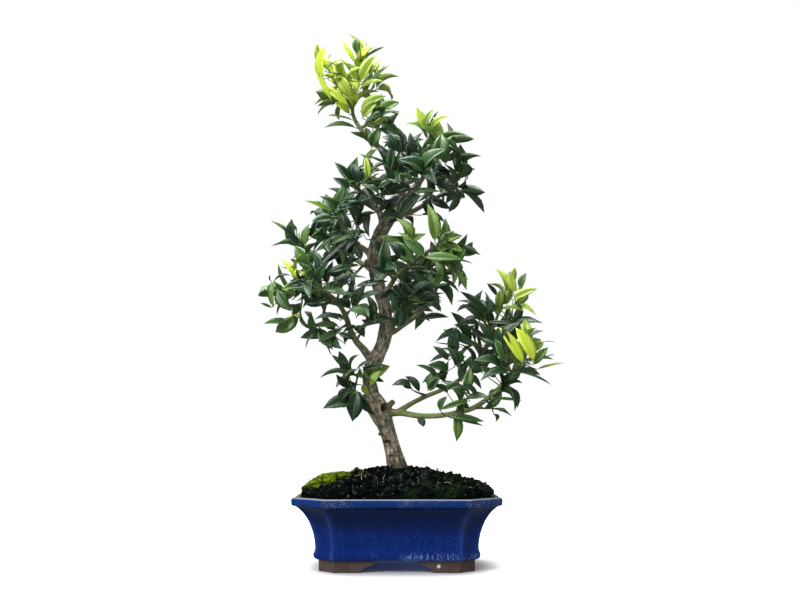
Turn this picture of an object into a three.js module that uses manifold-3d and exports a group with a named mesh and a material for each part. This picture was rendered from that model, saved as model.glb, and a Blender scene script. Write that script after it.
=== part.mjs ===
// A myrtle-leaf orange grown as an informal upright bonsai, in a glazed eight-sided pot.
// Millimetres, +Z up, the viewer's side is -Y. The layout below is measured from the middle of the
// pot's footprint, and the finished group is shifted so that the origin lies on the table under the
// middle of the whole plant.
import * as THREE from 'three';
import { mergeVertices } from 'three/addons/utils/BufferGeometryUtils.js';
import Module from 'manifold-3d';

const wasm = await Module();
wasm.setup();

// Pot: a rectangle with cut corners, whose eight panels are slightly hollow so that their joints
// stand out as ridges.
const POT_HALF_LENGTH = 101;
const POT_HALF_DEPTH = 76;
const CORNER_CUT_X = 31;
const CORNER_CUT_Y = 27;
const POT_HEIGHT = 70;
const FOOT_HEIGHT = 11;
const FLOOR_TOP = 17;
const FOOT_INSET = 26;
const FOOT_WALL = 11;
const FOOT_HOLLOW = 1.2;
const DRAIN_X = 42;
const DRAIN_RADIUS = 7;
const DRAIN_SIDES = 10;
const SEAT_GAP = 0.3;

// The pot's wall from the underside up over the rim and down the inside: how far each ring lies
// inside the rim's outline, its height, and how far its panels are hollowed.
const POT_PROFILE = [
  [25, FOOT_HEIGHT, 1.2],
  [21.6, 13, 1.6],
  [20.8, 16.5, 1.8],
  [22.4, 21.5, 2.2],
  [22, 28, 2.4],
  [20.2, 37, 2.4],
  [16.4, 47, 2.4],
  [11, 55.5, 2.2],
  [4.6, 61.5, 1.6],
  [0.6, 63, 1],
  [0, 68, 1],
  [1.4, POT_HEIGHT, 1],
  [6.6, POT_HEIGHT, 1],
  [8.4, 67, 1],
  [18, 56, 1.4],
  [27.5, 40, 1.6],
  [30, FLOOR_TOP, 1.6],
];

// The shares of a panel's width where its outline has a point.
const LONG_PANEL = [0, 0.1, 0.5, 0.9];
const CORNER_PANEL = [0, 0.33, 0.67];

// Feet: a skirt under the wall, with cloud-shaped arches cut through it between the four corners.
const FRONT_ARCH = [
  [35, -1], [35, 0], [33, 2.5], [29, 5], [25, 6], [21, 8.5], [19, FOOT_HEIGHT],
];
const SIDE_ARCH = [
  [24, -1], [24, 0], [22, 2.5], [19, 5], [16, 6], [13, 8.5], [11.5, FOOT_HEIGHT],
];

// Soil: heaped from just over the rim to a crown round the trunk.
const SOIL_EDGE = 77;
const SOIL_CROWN = 97;
const SOIL_RINGS = [0.95, 0.87, 0.75, 0.6, 0.43, 0.25, 0.1];
const SOIL_EVENNESS = 1.4;
const CLOD_RELIEF = 1.5;
const CLOD_WAVES = [0.21, 0.27];
const CRUMB_RELIEF = 0.9;
const CRUMB_WAVES = [0.53, -0.41];
const EDGE_CALM = 6;
const MOSS_COLUMNS = [12, 19];
const MOSS_RINGS = [1, 4];
const MOSS_DEPTH = 4.2;
const MOSS_EDGE = 0.8;
const MOSS_UNEVENNESS = 0.25;
const MOSS_WAVES = [2.4, 1.7];

// Drainage screens: squares of plastic mesh over the two holes in the pot's floor.
const SCREEN_SIDE = 25;
const SCREEN_THICKNESS = 1.2;
const SCREEN_HOLE = 5;
const SCREEN_PITCH = 7.5;

// Trunk and branches: points [x, y, z, radius] from the thick end to the thin one.
const LIMBS = {
  trunk: [
    [2, 0, 50, 13], [2, 0, 80, 12.2], [0, 0, 96, 10.4], [-4, 0, 112, 8.2], [-8, -1, 126, 7.4],
    [-12, -2, 138, 8.3], [-17, -3, 150, 10.6], [-22, -3, 160, 10], [-26, -2, 172, 7], [-28, 0, 187, 6.8],
    [-23, 2, 203, 7.6], [-16, 3, 217, 6.9], [-12, 3, 232, 7], [-11, 1, 246, 6.4], [-13, 0, 261, 6.6],
    [-18, 0, 277, 6.9], [-22, 2, 293, 7], [-24, 3, 311, 7], [-21, 3, 327, 7.2], [-15, 2, 341, 6.8],
    [-6, 0, 353, 5.8], [2, -2, 366, 4.8],
  ],
  left_low: [
    [-24, 1, 201, 4.8], [-34, -1, 215, 4], [-42, -2, 224, 3.4], [-48, -4, 236, 3], [-52, -6, 248, 2.8],
    [-58, -8, 259, 2.5], [-66, -11, 268, 2.3], [-77, -14, 273, 2.1], [-90, -18, 273, 1.9],
  ],
  right_low: [
    [-14, -3, 151, 5], [3, -8, 151, 3.4], [21, -14, 148, 2.9], [41, -20, 148, 2.7], [59, -26, 151, 2.6],
    [76, -30, 156, 2.7], [92, -30, 167, 2.4], [105, -28, 180, 2], [116, -26, 190, 1.8],
  ],
  right_rise: [
    [0, -7, 151, 3.4], [14, -5, 160, 2.6], [30, 0, 168, 2.4], [47, 4, 175, 2.3], [64, 8, 185, 2.2],
    [78, 10, 198, 2], [90, 10, 216, 1.9], [98, 8, 236, 1.8], [106, 6, 256, 1.6],
  ],
  mid_low: [
    [-11, 2, 231, 4], [-2, -2, 234, 2.7], [6, -6, 239, 2.2], [17, -12, 246, 2], [27, -16, 255, 1.8],
  ],
  mid_right: [
    [-16, 0, 267, 4], [-8, -6, 279, 2.8], [0, -16, 289, 2.4], [12, -23, 299, 2.2], [25, -28, 307, 2],
    [36, -32, 315, 1.8],
  ],
  mid_left: [
    [-23, 2, 308, 4.2], [-32, 2, 318, 3.2], [-43, 2, 326, 2.8], [-53, 2, 338, 2.4], [-61, 0, 350, 2],
  ],
  upper_left: [
    [-14, 0, 342, 4.2], [-18, -6, 356, 3.3], [-25, -8, 365, 2.8], [-33, -10, 373, 2.4], [-41, -12, 381, 2],
  ],
  leader: [
    [-1, -1, 360, 4.4], [4, 0, 380, 3.6], [4, 2, 397, 3.4], [-1, 2, 413, 3], [-12, 0, 423, 2.8],
    [-23, -2, 431, 2.6], [-34, -2, 442, 2.4], [-42, 0, 453, 2.2], [-47, 0, 466, 2], [-45, 0, 481, 1.7],
  ],
  upper_right: [
    [1, -2, 363, 4.2], [12, -4, 376, 3.4], [23, -6, 388, 2.9], [31, -8, 401, 2.5], [36, -8, 416, 2.2],
    [38, -8, 431, 1.9],
  ],
  far_right: [[-4, 0, 355, 4], [10, 6, 358, 3], [26, 10, 367, 2.6], [42, 12, 377, 2.3], [56, 12, 387, 1.9]],
  back_left: [[-22, 2, 294, 4], [-33, 24, 306, 3], [-45, 46, 316, 2.4], [-54, 66, 326, 1.9]],
  back_right: [[-14, 0, 266, 4], [-1, 22, 282, 3], [13, 44, 294, 2.4], [25, 62, 303, 1.9]],
  back_low: [[-16, 3, 216, 4], [-10, 22, 231, 2.9], [-3, 40, 245, 2.4], [3, 56, 256, 1.9]],
  back_top: [[2, -2, 365, 3.8], [7, 18, 386, 2.9], [12, 34, 406, 2.3], [14, 46, 424, 1.9]],
};

// Healed pruning cuts: where each stands on the trunk, its tip, and its end radius.
const PRUNING_STUBS = [
  [6, [-4, -7, 162], 2.8],
  [7.5, [-36, -6, 167], 2.4],
  [13.6, [-2, -2, 256], 2.2],
  [4.2, [-18, -6, 130], 1.8],
  [16.4, [-33, -3, 303], 2.4],
];
const STUB_FLARE = 1.6;

// Leafy shoots: [name, limb or shoot that bears it, place along that limb in points or along that
// shoot as a share, tip, leaves, leaf length, youth from 0 for dark old leaves to 1 for new ones].
// A shoot borne by a shoot belongs to the same spray.
const SHOOTS = [
  ['top', 'leader', 9, [-38, -4, 527], 10, 31, 0.9],
  ['top_front', 'top', 0.12, [-58, -30, 497], 6, 28, 0.85],
  ['top_left', 'leader', 8.2, [-75, -10, 514], 7, 31, 0.95],
  ['top_back', 'top_left', 0.15, [-63, 6, 480], 5, 29, 0.6],
  ['top_right', 'leader', 8.5, [-24, 14, 511], 6, 30, 0.7],
  ['top_low_right', 'leader', 6.6, [-18, -14, 454], 6, 31, 0.35],
  ['top_neck', 'top_low_right', 0.1, [-14, 18, 454], 4, 28, 0.3],
  ['crest_up', 'upper_right', 5, [31, -12, 444], 6, 28, 0.5],
  ['crest_right', 'crest_up', 0.15, [53, 8, 435], 5, 30, 0.2],
  ['crest_bright', 'upper_right', 3.8, [42, -27, 421], 6, 31, 0.45],
  ['crest_left', 'upper_right', 3, [7, -20, 419], 6, 30, 0.1],
  ['crest_far', 'far_right', 4, [66, -2, 408], 6, 32, 0.15],
  ['crest_far_low', 'crest_far', 0.15, [72, 22, 384], 5, 31, 0.1],
  ['crest_front', 'upper_right', 2, [27, -42, 390], 6, 33, 0.1],
  ['crest_back', 'back_top', 3, [-2, 54, 450], 5, 30, 0.25],
  ['crest_back_right', 'crest_back', 0.12, [44, 46, 398], 6, 31, 0.15],
  ['crest_fold', 'leader', 2, [-6, -36, 394], 6, 32, 0.1],
  ['cap_tip', 'upper_left', 4, [-44, -20, 386], 6, 28, 0.2],
  ['cap_bright', 'cap_tip', 0.12, [-29, -30, 391], 5, 26, 0.4],
  ['cap_front', 'upper_left', 1.6, [-10, -40, 376], 6, 32, 0.1],
  ['cap_under', 'upper_left', 3, [-48, 14, 377], 5, 30, 0.1],
  ['shelf_tip', 'mid_left', 4, [-63, -10, 354], 6, 31, 0.2],
  ['shelf_back', 'shelf_tip', 0.12, [-67, 28, 354], 5, 31, 0.1],
  ['shelf_low', 'mid_left', 3, [-71, -16, 328], 5, 31, 0.1],
  ['shelf_front', 'mid_left', 2, [-40, -27, 352], 6, 31, 0.1],
  ['shelf_far_back', 'back_left', 3, [-69, 92, 345], 5, 31, 0.15],
  ['wing_tall', 'left_low', 7, [-102, -14, 319], 7, 33, 0.3],
  ['wing_back', 'left_low', 6.2, [-78, 22, 310], 5, 31, 0.15],
  ['wing_far', 'left_low', 8, [-114, -22, 269], 6, 31, 0.35],
  ['wing_yellow', 'wing_far', 0.12, [-99, -38, 290], 5, 28, 0.75],
  ['wing_low', 'wing_far', 0.2, [-98, -18, 247], 5, 30, 0.3],
  ['wing_front', 'left_low', 6.6, [-80, -50, 276], 6, 32, 0.15],
  ['wing_rise', 'left_low', 5.4, [-54, -30, 296], 5, 31, 0.1],
  ['wing_inner', 'left_low', 4.2, [-40, -34, 259], 6, 30, 0.15],
  ['wing_drop', 'left_low', 3.4, [-71, -26, 229], 5, 31, 0.1],
  ['wing_trunk', 'left_low', 2, [-28, -28, 243], 4, 31, 0.1],
  ['wing_rear', 'left_low', 5, [-80, 24, 272], 5, 31, 0.1],
  ['wing_rear_in', 'back_left', 1.2, [-56, 40, 288], 4, 31, 0.1],
  ['knee_left', 'trunk', 9, [-48, -16, 190], 6, 26, 0.15],
  ['knee_low', 'knee_left', 0.3, [-43, -31, 166], 4, 32, 0.1],
  ['knee_bright', 'trunk', 8.6, [-24, -24, 184], 3, 25, 0.6],
  ['arm_tip', 'mid_right', 5, [43, -38, 315], 7, 32, 0.5],
  ['arm_far', 'arm_tip', 0.15, [59, -20, 309], 6, 30, 0.25],
  ['arm_up', 'mid_right', 3, [8, -38, 315], 5, 31, 0.5],
  ['arm_long', 'mid_right', 4, [55, -36, 295], 6, 33, 0.35],
  ['arm_cross', 'mid_right', 1.7, [-12, -46, 292], 5, 30, 0.1],
  ['arm_low', 'mid_right', 2.4, [42, -4, 288], 6, 32, 0.1],
  ['arm_rear', 'back_right', 3, [46, 80, 326], 5, 32, 0.2],
  ['arm_rear_low', 'arm_rear', 0.12, [36, 90, 292], 5, 31, 0.1],
  ['elbow_tip', 'mid_low', 4, [27, -24, 267], 6, 31, 0.1],
  ['elbow_in', 'mid_low', 2.4, [8, -32, 264], 4, 30, 0.1],
  ['elbow_back', 'mid_low', 3, [28, 16, 258], 5, 29, 0.1],
  ['heel_back', 'back_low', 3, [14, 80, 276], 5, 31, 0.15],
  ['bough_top', 'right_rise', 8, [114, 4, 282], 6, 29, 0.8],
  ['bough_top_right', 'bough_top', 0.12, [122, -2, 262], 4, 28, 0.75],
  ['bough_left', 'right_rise', 7, [83, 0, 251], 6, 30, 0.15],
  ['bough_far_left', 'right_rise', 6, [68, -4, 226], 6, 30, 0.1],
  ['bough_right', 'right_rise', 6.4, [117, -10, 243], 5, 32, 0.15],
  ['bough_mid', 'right_rise', 5, [59, -12, 210], 5, 31, 0.1],
  ['bough_inner', 'right_rise', 3.6, [40, -18, 187], 4, 27, 0.2],
  ['bough_small', 'right_rise', 2, [15, -14, 174], 2, 22, 0.1],
  ['bough_bright', 'right_low', 8, [128, -32, 216], 7, 36, 0.7],
  ['bough_front', 'right_low', 7, [101, -48, 209], 6, 33, 0.1],
  ['bough_low_right', 'right_low', 6, [105, -40, 175], 5, 28, 0.1],
  ['bough_twig', 'right_low', 5, [93, -36, 155], 3, 22, 0.2],
  ['bough_under', 'right_low', 4, [65, -50, 170], 4, 29, 0.3],
  ['bough_leaf_under', 'bough_under', 0.1, [59, -40, 149], 2, 28, 0.35],
  ['bough_rear', 'right_rise', 4.4, [98, 50, 222], 5, 31, 0.1],
  ['bough_rear_low', 'right_low', 6.6, [126, 14, 194], 5, 31, 0.15],
];

// Leaf: where its outline is widest, where it narrows to the tip and where its midrib is highest, as
// shares of its length, and its half widths there, which are shares of its length too.
const LEAF_WIDE_AT = 0.36;
const LEAF_NARROW_AT = 0.72;
const LEAF_RIDGE_AT = 0.45;
const LEAF_HALF_WIDTH = 0.2;
const LEAF_HALF_NARROW = 0.14;
const LEAF_THICKNESS = 1.2;
const LEAF_FOLD = 0.28;

// How leaves stand on their shoot: the first and last place along it, the angle between leaf and
// shoot at its foot, how far that closes by its tip and how much wider it is on an old shoot, and
// the ranges that a leaf is drawn from.
const LEAF_PLACES = [0.22, 0.97];
const GOLDEN_TURN = 137.5;
const FOOT_OPENING = 50;
const TIP_CLOSING = 28;
const OLD_SPREAD = 14;
const TURN_RANGE = [-14, 14];
const OPENING_RANGE = [-9, 9];
const LIFT_RANGE = [0.04, 0.3];
const LENGTH_RANGE = [0.82, 1.16];
const DROOP_RANGE = [0.04, 0.24];
const SLIMNESS_RANGE = [0.86, 1.14];
const YOUNG_SHRINK = 0.16;

// A leaf's upper side turns partly along the shoot, partly up and partly out to the light.
const FACING_ALONG = 0.85;
const FACING_UP = 0.55;
const FACING_LIGHT = 0.4;
const LEAST_FACING = 0.2;
const CROWN_CENTRE = new THREE.Vector3(-8, 14, 0);
const CROWN_FLATNESS = 3;
const LIGHT_SOFTNESS = 20;
const UP = new THREE.Vector3(0, 0, 1);
const NEARLY_UPRIGHT = 0.92;

// Room round a leaf, and how far out on it, as shares of its length, its blade has to be clear of
// its own spray's stems and of the other leaves there. Nearer in it may meet them at its root.
const LEAF_CLEARANCE = 0.35;
const CLEAR_OF_TWIGS = 0.22;
const CLEAR_OF_LEAVES = 0.1;

// The turns about the shoot and the tilts, in degrees, that a leaf tries in order until it is clear.
const CLEAR_WAYS = [
  [0, 0], [24, 0], [-24, 0], [0, -18], [48, 0], [-48, 0], [0, 18], [72, -10], [-72, -10], [100, 0],
  [-100, 0], [130, -12], [-130, -12], [180, 0],
];

// Wood: facets round the trunk and the branches, rings in each span between two of the trunk's
// points, and the ribs of its bark as [ribs round it, twist for each millimetre of height, relief].
const TRUNK_SIDES = 10;
const TRUNK_STEPS = 2;
const BRANCH_SIDES = 5;
const BARK_RIBS = [[3, 0.05, 0.05], [5, -0.08, 0.035]];
const HOLE_ROOM = 0.4;

// Shoots: the spur that a limb gives one, the gap between the two, and the stem's bend and radii.
const SPUR_LENGTH = 4;
const SPUR_RADII = [2, 1.6];
const END_GAP = 0.6;
const TWIG_SIDES = 3;
const TWIG_STEPS = 2;
const TWIG_RADII = [1.35, 0.75];
const SHOOT_STRAIGHT = 0.45;
const SHOOT_SAG = 0.08;

// Random draws: the start of each shoot's own stream, and the rule that takes it on.
const SEED_STEP = 7919;
const SEED_START = 104729;
const DRAW_RANGE = 2 ** 32;
const DRAW_FACTOR = 1664525;
const DRAW_STEP = 1013904223;

// A mesh with only positions and shared vertices, as a solid.
function solidOf(geometry) {
  const bare = geometry.index ? geometry.toNonIndexed() : geometry.clone();
  bare.deleteAttribute('normal');
  bare.deleteAttribute('uv');
  const merged = mergeVertices(bare, 1e-4);
  const triVerts = new Uint32Array(merged.index.array);
  const vertProperties = merged.attributes.position.array;
  const made = new wasm.Manifold(new wasm.Mesh({ numProp: 3, vertProperties, triVerts }));
  if (made.volume() > 0) return made;
  for (let i = 0; i < triVerts.length; i += 3) {
    [triVerts[i + 1], triVerts[i + 2]] = [triVerts[i + 2], triVerts[i + 1]];
  }
  return new wasm.Manifold(new wasm.Mesh({ numProp: 3, vertProperties, triVerts }));
}

function geometryOf(solid) {
  const mesh = solid.getMesh();
  const geometry = new THREE.BufferGeometry();
  geometry.setAttribute('position', new THREE.BufferAttribute(new Float32Array(mesh.vertProperties), 3));
  geometry.setIndex(new THREE.BufferAttribute(new Uint32Array(mesh.triVerts), 1));
  geometry.computeVertexNormals();
  return geometry;
}

function meshGeometry(points, faces) {
  const geometry = new THREE.BufferGeometry();
  geometry.setAttribute('position', new THREE.BufferAttribute(new Float32Array(points.flat()), 3));
  geometry.setIndex(faces.flat());
  return geometry;
}

// Closed rings of equal point counts, skinned in order and closed by a flat fan at each end.
function skinRings(rings) {
  const count = rings[0].length;
  const points = rings.flat();
  const faces = [];
  for (let ring = 0; ring + 1 < rings.length; ring += 1) {
    for (let i = 0; i < count; i += 1) {
      const a = ring * count + i;
      const b = ring * count + ((i + 1) % count);
      faces.push([a, b, b + count], [a, b + count, a + count]);
    }
  }
  const last = (rings.length - 1) * count;
  for (let i = 1; i + 1 < count; i += 1) {
    faces.push([0, i + 1, i], [last, last + i, last + i + 1]);
  }
  return solidOf(meshGeometry(points, faces));
}

// A repeatable stream of numbers from 0 to 1, from a linear congruential rule.
class Draws {
  constructor(seed) {
    this.state = (seed * SEED_STEP + SEED_START) % DRAW_RANGE;
    this.next();
    this.next();
  }

  next() {
    this.state = (this.state * DRAW_FACTOR + DRAW_STEP) % DRAW_RANGE;
    return this.state / DRAW_RANGE;
  }

  between(low, high) {
    return low + (high - low) * this.next();
  }
}

// The pot's eight-sided outline, taken in by inset, with each panel hollowed between its ridges.
function potOutline(inset, hollow) {
  const length = POT_HALF_LENGTH - inset;
  const depth = POT_HALF_DEPTH - inset;
  const slant = Math.hypot(CORNER_CUT_X, CORNER_CUT_Y);
  const nx = CORNER_CUT_Y / slant;
  const ny = CORNER_CUT_X / slant;
  const reach = nx * POT_HALF_LENGTH + ny * (POT_HALF_DEPTH - CORNER_CUT_Y) - inset;
  const ridgeX = (reach - ny * depth) / nx;
  const ridgeY = (reach - nx * length) / ny;
  const ridges = [
    [length, -ridgeY], [length, ridgeY], [ridgeX, depth], [-ridgeX, depth],
    [-length, ridgeY], [-length, -ridgeY], [-ridgeX, -depth], [ridgeX, -depth],
  ];
  const outline = [];
  ridges.forEach(([x, y], i) => {
    const [x2, y2] = ridges[(i + 1) % ridges.length];
    const width = Math.hypot(x2 - x, y2 - y);
    const shares = i % 2 ? CORNER_PANEL : LONG_PANEL;
    for (const share of shares) {
      const sink = hollow * (1 - (2 * share - 1) ** 4);
      outline.push([
        x + (x2 - x) * share - ((y2 - y) / width) * sink,
        y + (y2 - y) * share + ((x2 - x) / width) * sink,
      ]);
    }
  });
  return outline;
}

function potRing([inset, z, hollow]) {
  return potOutline(inset, hollow).map(([x, y]) => [x, y, z]);
}

// A prism of a closed outline between two heights.
function prism(outline, low, high) {
  return skinRings([low, high].map((z) => outline.map(([x, y]) => [x, y, z])));
}

// The arch cut between two feet: its half outline mirrored and run right through the pot.
function archCutter(half, alongX) {
  const shape = new THREE.Shape(half.map(([across, z]) => new THREE.Vector2(across, z)));
  [...half].reverse().forEach(([across, z]) => shape.lineTo(-across, z));
  const run = 2 * POT_HALF_LENGTH;
  const cutter = new THREE.ExtrudeGeometry(shape, { depth: run, bevelEnabled: false });
  cutter.rotateX(Math.PI / 2);
  cutter.translate(0, run / 2, 0);
  if (alongX) cutter.rotateZ(Math.PI / 2);
  return solidOf(cutter);
}

function drainHole(x) {
  const hole = new THREE.CylinderGeometry(DRAIN_RADIUS, DRAIN_RADIUS, FLOOR_TOP + 2, DRAIN_SIDES);
  hole.rotateX(Math.PI / 2);
  hole.translate(x, 0, FLOOR_TOP / 2);
  return solidOf(hole);
}

function makePot() {
  const body = skinRings(POT_PROFILE.map(potRing));
  const skirtOutside = prism(potOutline(FOOT_INSET, FOOT_HOLLOW), 0, FOOT_HEIGHT + 1);
  const skirtInside = prism(potOutline(FOOT_INSET + FOOT_WALL, 0), -1, FOOT_HEIGHT);
  const skirt = skirtOutside
    .subtract(skirtInside)
    .subtract(archCutter(FRONT_ARCH, false))
    .subtract(archCutter(SIDE_ARCH, true));
  return body.add(skirt).subtract(drainHole(DRAIN_X)).subtract(drainHole(-DRAIN_X));
}

function makeScreen() {
  const plate = new THREE.BoxGeometry(SCREEN_SIDE, SCREEN_SIDE, SCREEN_THICKNESS);
  let screen = solidOf(plate);
  for (const column of [-0.5, 0.5]) {
    for (const row of [-0.5, 0.5]) {
      const hole = new THREE.BoxGeometry(SCREEN_HOLE, SCREEN_HOLE, 2 * SCREEN_THICKNESS);
      hole.translate(column * SCREEN_PITCH, row * SCREEN_PITCH, 0);
      screen = screen.subtract(solidOf(hole));
    }
  }
  return screen;
}

// The heaped soil's height at a share of the way from the crown to the pot's wall.
function soilHeight(x, y, share) {
  const heap = 1 - share ** SOIL_EVENNESS;
  const clods = CLOD_RELIEF * Math.sin(CLOD_WAVES[0] * x + 1.3) * Math.sin(CLOD_WAVES[1] * y + 0.4);
  const crumbs = CRUMB_RELIEF * Math.sin(CRUMB_WAVES[0] * x + CRUMB_WAVES[1] * y);
  return SOIL_EDGE + (SOIL_CROWN - SOIL_EDGE) * heap + (clods + crumbs) * (1 - share ** EDGE_CALM);
}

// The rings of the soil's upper face, from the wall inwards.
function soilTopRings() {
  const [inset, height, hollow] = POT_PROFILE.at(-4);
  const edge = potOutline(inset + SEAT_GAP, hollow);
  const rings = [edge.map(([x, y]) => [x, y, height])];
  for (const share of SOIL_RINGS) {
    rings.push(edge.map(([x, y]) => [x * share, y * share, soilHeight(x * share, y * share, share)]));
  }
  return rings;
}

function makeSoil() {
  const wall = POT_PROFILE.slice(-3).map(([inset, z, hollow]) => [inset + SEAT_GAP, z, hollow]);
  wall[2][1] += SEAT_GAP;
  const recess = SCREEN_SIDE + 2 * SEAT_GAP;
  const roots = makeTube(LIMBS.trunk.slice(0, 5), TRUNK_SIDES, TRUNK_STEPS, trunkBark, HOLE_ROOM);
  let soil = skinRings([...soilTopRings().reverse(), ...wall.map(potRing)]).subtract(roots);
  for (const x of [DRAIN_X, -DRAIN_X]) {
    const box = new THREE.BoxGeometry(recess, recess, 2 * (SCREEN_THICKNESS + SEAT_GAP));
    box.translate(x, 0, FLOOR_TOP + SEAT_GAP);
    soil = soil.subtract(solidOf(box));
  }
  return soil;
}

// A cushion of moss on the heap's left slope, over the same facets as the soil under it.
function makeMoss() {
  const rings = soilTopRings();
  const [firstColumn, lastColumn] = MOSS_COLUMNS;
  const [firstRing, lastRing] = MOSS_RINGS;
  const columns = lastColumn - firstColumn + 1;
  const rows = lastRing - firstRing + 1;
  const low = [];
  const high = [];
  for (let row = 0; row < rows; row += 1) {
    for (let column = 0; column < columns; column += 1) {
      const [x, y, z] = rings[firstRing + row][firstColumn + column];
      const edgeways = Math.sin((Math.PI * column) / (columns - 1)) * Math.sin((Math.PI * row) / (rows - 1));
      const wave = Math.cos(MOSS_WAVES[0] * column + MOSS_WAVES[1] * row);
      const tuft = 1 - MOSS_UNEVENNESS * (1 - wave);
      low.push([x, y, z + SEAT_GAP]);
      high.push([x, y, z + SEAT_GAP + MOSS_EDGE + MOSS_DEPTH * Math.sqrt(edgeways) * tuft]);
    }
  }
  const faces = [];
  const top = low.length;
  const quad = (a, b, c, d) => faces.push([a, b, d], [b, c, d]);
  for (let row = 0; row + 1 < rows; row += 1) {
    for (let column = 0; column + 1 < columns; column += 1) {
      const a = row * columns + column;
      const b = a + 1;
      const c = b + columns;
      const d = a + columns;
      quad(a + top, b + top, c + top, d + top);
      quad(a, d, c, b);
    }
  }
  const border = [];
  for (let column = 0; column + 1 < columns; column += 1) border.push(column);
  for (let row = 0; row + 1 < rows; row += 1) border.push(row * columns + columns - 1);
  for (let column = columns - 1; column > 0; column -= 1) border.push((rows - 1) * columns + column);
  for (let row = rows - 1; row > 0; row -= 1) border.push(row * columns);
  border.forEach((a, i) => {
    const b = border[(i + 1) % border.length];
    quad(a, b, b + top, a + top);
  });
  return solidOf(meshGeometry([...low, ...high], faces));
}

// Old bark on the trunk: long ribs that wander round it.
function trunkBark(turn, height) {
  return BARK_RIBS.reduce((reach, [ribs, twist, relief]) => (
    reach + relief * Math.sin(ribs * turn + height * twist)
  ), 1);
}

function smooth() {
  return 1;
}

// A tapering tube through points [x, y, z, radius], with its surface raised by a relief.
function makeTube(points, sides, stepsPerSpan, relief = smooth, grow = 0) {
  const curve = new THREE.CatmullRomCurve3(
    points.map(([x, y, z]) => new THREE.Vector3(x, y, z)), false, 'catmullrom', 0.5,
  );
  const spans = points.length - 1;
  const steps = spans * stepsPerSpan;
  const rings = [];
  let across = null;
  for (let step = 0; step <= steps; step += 1) {
    const share = step / steps;
    const centre = curve.getPoint(share);
    const along = curve.getTangent(share);
    across = across ?? new THREE.Vector3(1, 0, 0);
    across.addScaledVector(along, -across.dot(along)).normalize();
    const over = new THREE.Vector3().crossVectors(along, across);
    const span = Math.min(Math.floor(share * spans), spans - 1);
    const inSpan = share * spans - span;
    const radius = points[span][3] + (points[span + 1][3] - points[span][3]) * inSpan;
    if (step === 0) centre.addScaledVector(along, -grow);
    const ring = [];
    for (let side = 0; side < sides; side += 1) {
      const turn = (2 * Math.PI * side) / sides;
      const reach = radius * relief(turn, centre.z) + grow;
      const point = centre.clone()
        .addScaledVector(across, Math.cos(turn) * reach)
        .addScaledVector(over, Math.sin(turn) * reach);
      ring.push(point.toArray());
    }
    rings.push(ring);
  }
  return skinRings(rings);
}

// The point of a limb at a place counted in its points, and the limb's radius there.
function placeOnLimb(name, place) {
  const points = LIMBS[name];
  const first = Math.min(Math.floor(place), points.length - 2);
  const share = place - first;
  const mixed = points[first].map((value, i) => value + (points[first + 1][i] - value) * share);
  return { point: new THREE.Vector3(...mixed.slice(0, 3)), radius: mixed[3] };
}

// A shoot's curve: a quadratic from its foot, leaving the limb straight and bending up to its tip.
function shootCurve(foot, direction, tip) {
  const reach = foot.distanceTo(tip);
  const bend = foot.clone().addScaledVector(direction, reach * SHOOT_STRAIGHT);
  bend.addScaledVector(UP, -reach * SHOOT_SAG);
  return new THREE.QuadraticBezierCurve3(foot, bend, tip);
}

// A point on the straight-sided twig that follows a shoot's curve.
function pointOnTwig(curve, share) {
  const step = Math.min(Math.floor(share * TWIG_STEPS), TWIG_STEPS - 1);
  const start = curve.getPoint(step / TWIG_STEPS);
  return start.lerp(curve.getPoint((step + 1) / TWIG_STEPS), share * TWIG_STEPS - step);
}

function makeTwig(curve) {
  const points = [];
  for (let step = 0; step <= TWIG_STEPS; step += 1) {
    const share = step / TWIG_STEPS;
    const radius = TWIG_RADII[0] + (TWIG_RADII[1] - TWIG_RADII[0]) * share;
    points.push([...curve.getPoint(share).toArray(), radius]);
  }
  return makeTube(points, TWIG_SIDES, 1);
}

// Where a shoot springs from: its own foot, its direction, and the spur that the limb gives it. At
// the very end of a limb it goes straight on, with no spur.
function shootStart(bearer, place, tip, curves) {
  if (curves[bearer]) {
    const foot = pointOnTwig(curves[bearer], place);
    return { foot, direction: tip.clone().sub(foot).normalize(), spur: null };
  }
  const { point, radius } = placeOnLimb(bearer, place);
  if (place === LIMBS[bearer].length - 1) {
    const [before] = LIMBS[bearer].slice(-2);
    const direction = point.clone().sub(new THREE.Vector3(...before.slice(0, 3))).normalize();
    return { foot: point.addScaledVector(direction, END_GAP), direction, spur: null };
  }
  const direction = tip.clone().sub(point).normalize();
  const end = point.clone().addScaledVector(direction, radius + SPUR_LENGTH);
  const foot = end.clone().addScaledVector(direction, SEAT_GAP);
  const spur = [[...point.toArray(), SPUR_RADII[0]], [...end.toArray(), SPUR_RADII[1]]];
  return { foot, direction, spur };
}

// The level part of the way to the light: out from the trunk, and to the front or the back.
function lightAt(root) {
  const out = root.clone().sub(CROWN_CENTRE);
  out.set(out.x, out.y * CROWN_FLATNESS, 0);
  return out.multiplyScalar(FACING_LIGHT / (out.length() + LIGHT_SOFTNESS));
}

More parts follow.
